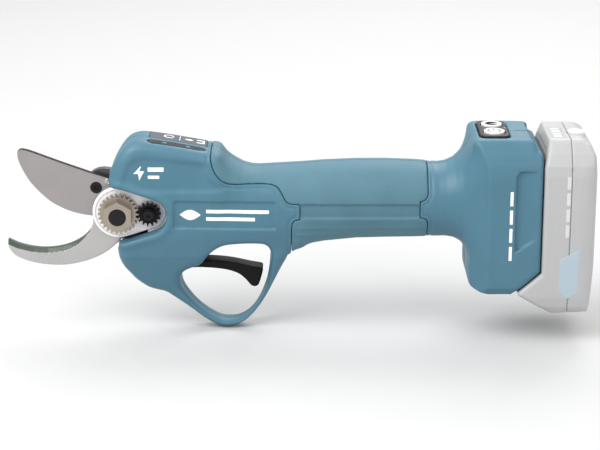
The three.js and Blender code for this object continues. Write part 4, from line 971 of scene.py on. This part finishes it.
def add_trigger():
    g = Grid((-78, -6.4, 20.5), (-17.5, 6.4, 41), LEVER_STEP)
    side = g.side(TRIGGER_SIDE)
    body = round_max(side, slab(g.y, -5.5, 5.5), 1.6)
    # A moulding line runs along the side under the top face
    depth = np.abs(g.side(TRIGGER_UPPER))
    line = 0.35 * np.exp(-((depth / 0.4) ** 2)) * (np.abs(g.y) > 4.2)
    body = without(body + line, g.bar_y((-72, 35), 1.8, (-10, 10)))
    paint = [TRIGGER, TRIGGER_PAINTED_HIGHLIGHT]
    piece = moulded("trigger_lever", body, g, "trigger", paint, ["trigger"])
    # faces that point up get the lighter material, a painted highlight from the light above
    paint_where(piece, lambda c, n: n[:, 2] > 0.6)


def paint_where(piece, rule, index=1):
    """Gives a piece's other material to the faces that a rule picks."""
    mesh = piece.data
    centres = np.zeros(3 * len(mesh.polygons), np.float32)
    normals = np.zeros(3 * len(mesh.polygons), np.float32)
    mesh.polygons.foreach_get("center", centres)
    mesh.polygons.foreach_get("normal", normals)
    picked = rule(centres.reshape(-1, 3) / MM, normals.reshape(-1, 3))
    mesh.polygons.foreach_set("material_index", np.where(picked, index, 0).astype(np.int32))
    mesh.update()


# ---------- blades and cheeks
HOOK_OUTLINE = outline([
    (-151, 47.8), (-150.9, 45.2), (-149.6, 42), (-146, 38.6), (-138.5, 35.8), (-130, 34.4),
    (-121.5, 34.3), (-114, 35.6), (-107, 37.8), (-100, 41.4), (-94.5, 46), (-89.5, 51),
    (-84.6, 54.6), (-81.6, 59), (-80.4, 63.7), (-81, 68), (-83, 72), (-87, 75.2),
    (-93.5, 76.2), (-98.5, 75), (-102.4, 72), (-105, 68), (-106.2, 63.7), (-106.4, 58.6),
    (-107.4, 54.4), (-110.4, 50.4), (-115.4, 46.9), (-122, 44.2), (-130.4, 43), (-138, 43.5),
    (-145, 45.2), (-149.6, 47.3),
])
BLADE_OUTLINE = outline([
    (-145, 92.6), (-144.7, 89.4), (-142.6, 84), (-138.9, 77.6), (-134, 71.9), (-128.6, 67),
    (-122.3, 63.4), (-116.6, 61.2), (-111, 59.9), (-106.4, 59.2), (-104, 57.6), (-101.8, 54.8),
    (-98, 52.2), (-93, 51.3), (-87.4, 52.8), (-82.8, 57), (-80.9, 62), (-81.2, 68),
    (-84, 73.6), (-89, 77.4), (-97.6, 79.6), (-106.4, 82.2), (-114, 84.9), (-122.4, 87.9),
    (-130.6, 91), (-137.2, 93.5), (-140.6, 94.6), (-143.2, 94.9), (-144.7, 94),
])
HOOK_EDGE_LINE = [
    (-151, 47.8), (-145, 45.2), (-138, 43.5), (-130.4, 43), (-122, 44.2), (-115.4, 46.9),
    (-110.4, 50.4), (-107.4, 54.4), (-106.4, 58.6), (-106.2, 63.7),
]
BLADE_EDGE_LINE = [
    (-145, 92.6), (-142.6, 84), (-138.9, 77.6), (-134, 71.9), (-128.6, 67), (-122.3, 63.4),
    (-116.6, 61.2), (-111, 59.9), (-105.4, 58.8),
]


def line_distance(g, points):
    """Distance from an open line in x and z."""
    nearest = np.full((g.x.shape[0], g.z.shape[2]), 1e9, np.float32)
    a, b = g.x[:, :, 0], g.z[0]
    for (x0, z0), (x1, z1) in zip(points, points[1:]):
        ex, ez = x1 - x0, z1 - z0
        t = np.clip(((a - x0) * ex + (b - z0) * ez) / (ex * ex + ez * ez), 0, 1)
        nearest = np.minimum(nearest, np.hypot(a - x0 - ex * t, b - z0 - ez * t))
    return nearest[:, None, :]


def add_blades():
    g = Grid((-152.4, -6.2, 33.6), (-79.4, 4.4, 97.2), BLADE_STEP)
    bore = g.bar_y(PIVOT, 4.45, THROUGH)
    hook = round_max(g.side(HOOK_OUTLINE), slab(g.y, -5.2, -0.15), 0.5)
    fade = 0.24 * np.maximum(g.x + 118, 0)
    ground = (-2.9 - 1.05 * line_distance(g, HOOK_EDGE_LINE) - fade - g.y) / 1.45
    hook = without(np.maximum(hook, ground), bore)
    paint = [HOOK, HOOK_BEVEL_PAINTED_REFLECTION]
    piece = moulded("counter_blade", hook, g, "housing", paint, ["hook_blade"])
    # the upward-facing bevel faces towards the tip get the dark material, a painted reflection
    paint_where(piece, lambda c, n: (n[:, 1] > -0.94) & (n[:, 2] > 0.2) & (c[:, 0] < -108))
    blade = round_max(g.side(BLADE_OUTLINE), slab(g.y, 0.15, 3.35), 0.35)
    ground = (g.y - 0.7 - 1.1 * line_distance(g, BLADE_EDGE_LINE)) / 1.5
    blade = without(np.maximum(blade, ground), bore, g.bar_y(ARM_SCREW, 2.1, THROUGH))
    paint = [STEEL, SPINE_PAINTED_SHADE]
    piece = moulded("upper_blade", blade, g, "blade", paint, ["cutting_blade"])
    # the spine's upward faces get the dark material, a painted shade line along the top edge
    paint_where(piece, lambda c, n: (n[:, 2] > 0.3) & (np.abs(n[:, 1]) < 0.93))


def add_rivet():
    """A small rivet's head on the near face of the upper blade."""
    profile = [(0, -0.75), (1.0, -0.75), (1.5, -0.45), (1.6, 0), (1.6, 0.6), (0, 0.6)]
    rivet = turned(profile, (-98.9, 78), "Y", 24)
    link("blade_rivet", finish_mesh("blade_rivet", rivet), "blade", GEAR)


def add_cheek():
    """The near bearing plate, a bright casting with a raised rounded rim."""
    g = Grid((-109, -9.6, 47), (-64, -4.8, 80.6), LEVER_STEP)
    pear = g.side(cheek_outline())
    plate = round_max(pear, slab(g.y, -8.8, -5.5), 1.1)
    floor = np.maximum(pear + 1.5, g.y + 8.2)
    plate = round_max(plate, -floor, 0.5)
    bridge = g.box((-78, -67.4), (-8, -5.5), (49.7, 77.7))
    plate = joined(plate, bridge, *[g.bar_y(at, 3.9, (-8, -5.5)) for at in CHEEK_SCREWS])
    holes = [g.bar_y(at, 1.9, THROUGH) for at in [(LOCK_X, PIVOT[1])] + CHEEK_SCREWS]
    plate = without(plate, g.bar_y(PIVOT, 4.5, THROUGH), *holes)
    along, up = from_motor_axis(g)
    plate = without(plate, np.maximum(np.hypot(g.y, up) - 7, slab(along, 14.5, 27)))
    moulded("cheek_left_casting", plate, g, "housing", CAST, ["cheek_plate_left"])


def add_guide():
    """Black channel in the foot that the pack's T-shaped rail slides in."""
    g = Grid((108.5, -27, 24), (125.5, 27, 105.5), GUIDE_STEP)
    side = [
        (110.5, 26.6), (122.9, 37.8), (122.9, 92), (123.1, 96.4), (122.6, 97), (119.2, 97.2),
        (118.4, 103), (117.4, 103.9), (110.5, 103.9),
    ]
    front = mirrored([(24.1, 26), (24.1, 91), (22.6, 97), (20, 101.5), (17, 103.9)])
    body = round_max(g.side(side), g.front(front), 0.8)
    body = joined(body, g.box((114, 116.5), (-25.6, 25.6), (45, 90)))
    body = without(
        body,
        g.box((112.9, 119.6), (-20.9, 20.9), (10, GUIDE_TOP)),
        g.box((118, 130), (-17.9, 17.9), (10, GUIDE_TOP)),
        g.box((109, 114), (-6.5, 6.5), (10, 36)),
        g.box((113, 119.4), (-12.6, 12.6), (90, 101.6)),
    )
    moulded("guide_channel", body, g, "housing", BLACK, ["battery_guide"])


# ---------- battery
PACK_SIDE = [
    (111.4, 26.4), (111.9, 25), (129.4, 14.4), (147.8, 15.5), (149.4, 24.5), (150.9, 40),
    (150.9, 88), (149.5, 97.4), (147, 103), (142.6, 105.6), (126, 105.8), (123.3, 92),
    (123.3, 36.9),
]
PACK_FRONT = mirrored([
    (25.5, 14), (28.2, 19), (29, 24), (29, 88), (28.2, 93.4), (25.4, 98.8), (21.6, 103),
    (18.5, 106),
])
PACK_TOP = mirrored_across(
    [(100, 33), (140, 33), (144.5, 29.6), (148.6, 27.3), (150.8, 23), (151.4, 18)]
)
LATCH_POCKET = [
    (112.9, 22.4), (120.4, 17.4), (123.2, 16.6), (124.8, 21.2), (120.4, 25.9), (114.5, 25.6)
]
CASE_SCREWS = (-20.5, 20.5)  # in y
CASE_SCREW_Z = 22
TERMINALS = (-8, 0, 8)  # in y


def pack_surface(g):
    """Outside of the whole pack, without its rail."""
    outer = round_max(g.side(PACK_SIDE), g.front(PACK_FRONT), 2.2)
    return round_max(outer, g.top(PACK_TOP), 2)


def battery_field(g):
    """Both of the pack's shells, with everything that is cut out of them."""
    rail = joined(
        g.box((113.2, 119.2), (-20.5, 20.5), (30, 95)),
        g.box((118.7, 123.8), (-17.5, 17.5), (34, 95)),
    )
    hollow = joined(
        g.box((127.9, 146), (-27.4, 27.4), (26.4, 92.2)),
        g.box((124.9, 145.5), (-16.5, 16.5), (29.6, 100.5)),
    )
    latch = joined(
        np.maximum(g.side(LATCH_POCKET), np.abs(g.y) - 9.3),
        g.box((114.1, 120.1), (-6.3, 6.3), (20, 33.8)),
        g.box((108, 114.6), (-6.3, 6.3), (29.7, 33.8)),
        np.maximum(np.hypot(g.y, g.z - 30) - 2.7, slab(g.x, 117, 122.2)),
    )
    made = joined(pack_surface(g), rail + RAIL_PLAY)
    made = without(made, hollow + WALL_SPARE, latch)
    for y in TERMINALS:
        made = without(
            made,
            g.box((113.8, 118.9), (y - 1.6, y + 1.6), (84, 97)),
            g.box((113.8, 125.4), (y - 0.9, y + 0.9), (85.5, 90.5)),
        )
    for y in CASE_SCREWS:
        from_axis = np.hypot(g.y - y, g.z - CASE_SCREW_Z)
        made = without(made, np.maximum(from_axis - 1.8, slab(g.x, 126, 152)))
        made = round_max(made, -np.maximum(from_axis - 3.2, slab(g.x, 146, 155)), 0.5)
    gauge = (np.hypot((g.x - GAUGE[0]) / 4.55, (g.y - GAUGE[1]) / 5.35) - 1) * 4.5
    return round_max(made, -np.maximum(gauge, 99 - g.z), 0.5)


def add_battery():
    g = Grid((110, -31, 13), (153, 31, 108), STEP)
    body = battery_field(g)
    for name, cut in (("front", g.x - (SPLIT - SPLIT_GAP)), ("rear", (SPLIT + SPLIT_GAP) - g.x)):
        half = round_max(body, cut, 0.3)
        node = f"battery_case_{name}"
        moulded(f"{node}_shell", half, g, "battery", PACK, [node])
    near = (-30.5, -26)
    bars = [bar_mark((134.6, 136.6), (56.4 + 8.4 * k, 63 + 8.4 * k)) for k in range(4)]
    printed("battery_print", bars, pack_surface, near, "battery", PACK_MARK)
    label = [(132.2, 27), (136.8, 23.6), (142, 26.6), (142, 50), (132.2, 44.6)]
    printed("battery_label", [label], pack_surface, near, "battery", BLUE)
    panel = [rounded_box((127.2, 134.8), (-16.4, 6), 1)]
    top = (102, 107)
    printed(
        "gauge_frame", panel, pack_surface, top, "battery", GAUGE_GREY, "Z", 0.05
    )
    bars = [bar_mark((128.8, 133.4), (-14.6 + 5.2 * k, -11.4 + 5.2 * k)) for k in range(4)]
    printed("gauge_bars", bars, pack_surface, top, "battery", PACK_MARK, "Z", 0.1)


# ---------- carried-over nodes
def soften(name, width, angle=30):
    """Rounds a CAD node's edges with a modifier, which leaves its own points alone."""
    node = frame["nodes"][name]
    bevel = node.modifiers.new("edges", "BEVEL")
    bevel.width = width * MM
    bevel.segments = 2
    bevel.limit_method = "ANGLE"
    bevel.angle_limit = math.radians(angle)
    bevel.harden_normals = False


add_housing()
add_prints()
add_display()
add_switches()
add_trigger()
add_blades()
add_rivet()
add_cheek()
add_guide()
add_battery()
for width, names in (
    (0.2, ["lock_gear", "battery_screw_1", "battery_screw_2"]),
    (0.2, [f"housing_screw_{k}" for k in range(1, 5)]),
    (0.25, ["blade_nut", "lock_screw", "arm_screw", "swing_gear"]),
    (0.3, ["pivot_bolt", "cheek_plate_right", "battery_latch"]),
    (0.35, ["power_button", "mode_button", "gauge_button"]),
):
    for name in names:
        soften(name, width)

# ---------- stage
# In metres and watts
CAMERA_AIM = Vector((0.0005, 0, 0.0544))
ELEVATION = math.radians(17)
DISTANCE = 1.0
VIEW_WIDTH = 0.312  # what the picture's width shows at the aim
SENSOR = 36  # width of the camera's sensor, mm
FLOOR = 3.0  # half the floor's side
FLOOR_GAP = 0.0006
LIGHT_AIM = Vector((0, 0, 0.05))
# name, place, power and side of each square lamp
LIGHTS = [
    ("key", (-0.75, -0.55, 1.1), 20.5, 1.1),
    ("fill", (0.9, -1.0, 0.6), 5.4, 1.0),
    ("back", (0.3, 0.9, 1.1), 10.3, 0.9),
]


def add_stage():
    low = bpy.data.meshes.new("floor")
    corners = [(-FLOOR, -FLOOR, 0), (FLOOR, -FLOOR, 0), (FLOOR, FLOOR, 0), (-FLOOR, FLOOR, 0)]
    low.from_pydata(corners, [], [(0, 1, 2, 3)])
    floor = bpy.data.objects.new("floor", low)
    floor.location.z = -FLOOR_GAP
    bpy.context.scene.collection.objects.link(floor)
    low.materials.append(material("floor_white", (0.55, 0.55, 0.55), 0.8, mottle=0.01))
    world = bpy.data.worlds.new("studio")
    bpy.context.scene.world = world
    world.use_nodes = True
    world.node_tree.nodes["Background"].inputs["Color"].default_value = (1, 1, 1, 1)
    world.node_tree.nodes["Background"].inputs["Strength"].default_value = 0.82
    for name, at, power, side in LIGHTS:
        lamp = bpy.data.lights.new(name, "AREA")
        lamp.energy = power
        lamp.size = side
        light = bpy.data.objects.new(name, lamp)
        light.location = at
        direction = LIGHT_AIM - Vector(at)
        light.rotation_euler = direction.to_track_quat("-Z", "Y").to_euler()
        bpy.context.scene.collection.objects.link(light)


def add_camera():
    lens = bpy.data.cameras.new("camera")
    lens.lens = SENSOR * DISTANCE / VIEW_WIDTH
    camera = bpy.data.objects.new("camera", lens)
    back = Vector((0, -math.cos(ELEVATION), math.sin(ELEVATION)))
    camera.location = CAMERA_AIM + back * DISTANCE
    camera.rotation_euler = (-back).to_track_quat("-Z", "Y").to_euler()
    bpy.context.scene.collection.objects.link(camera)
    bpy.context.scene.camera = camera
    bpy.context.scene.view_settings.view_transform = "Standard"


add_stage()
add_camera()
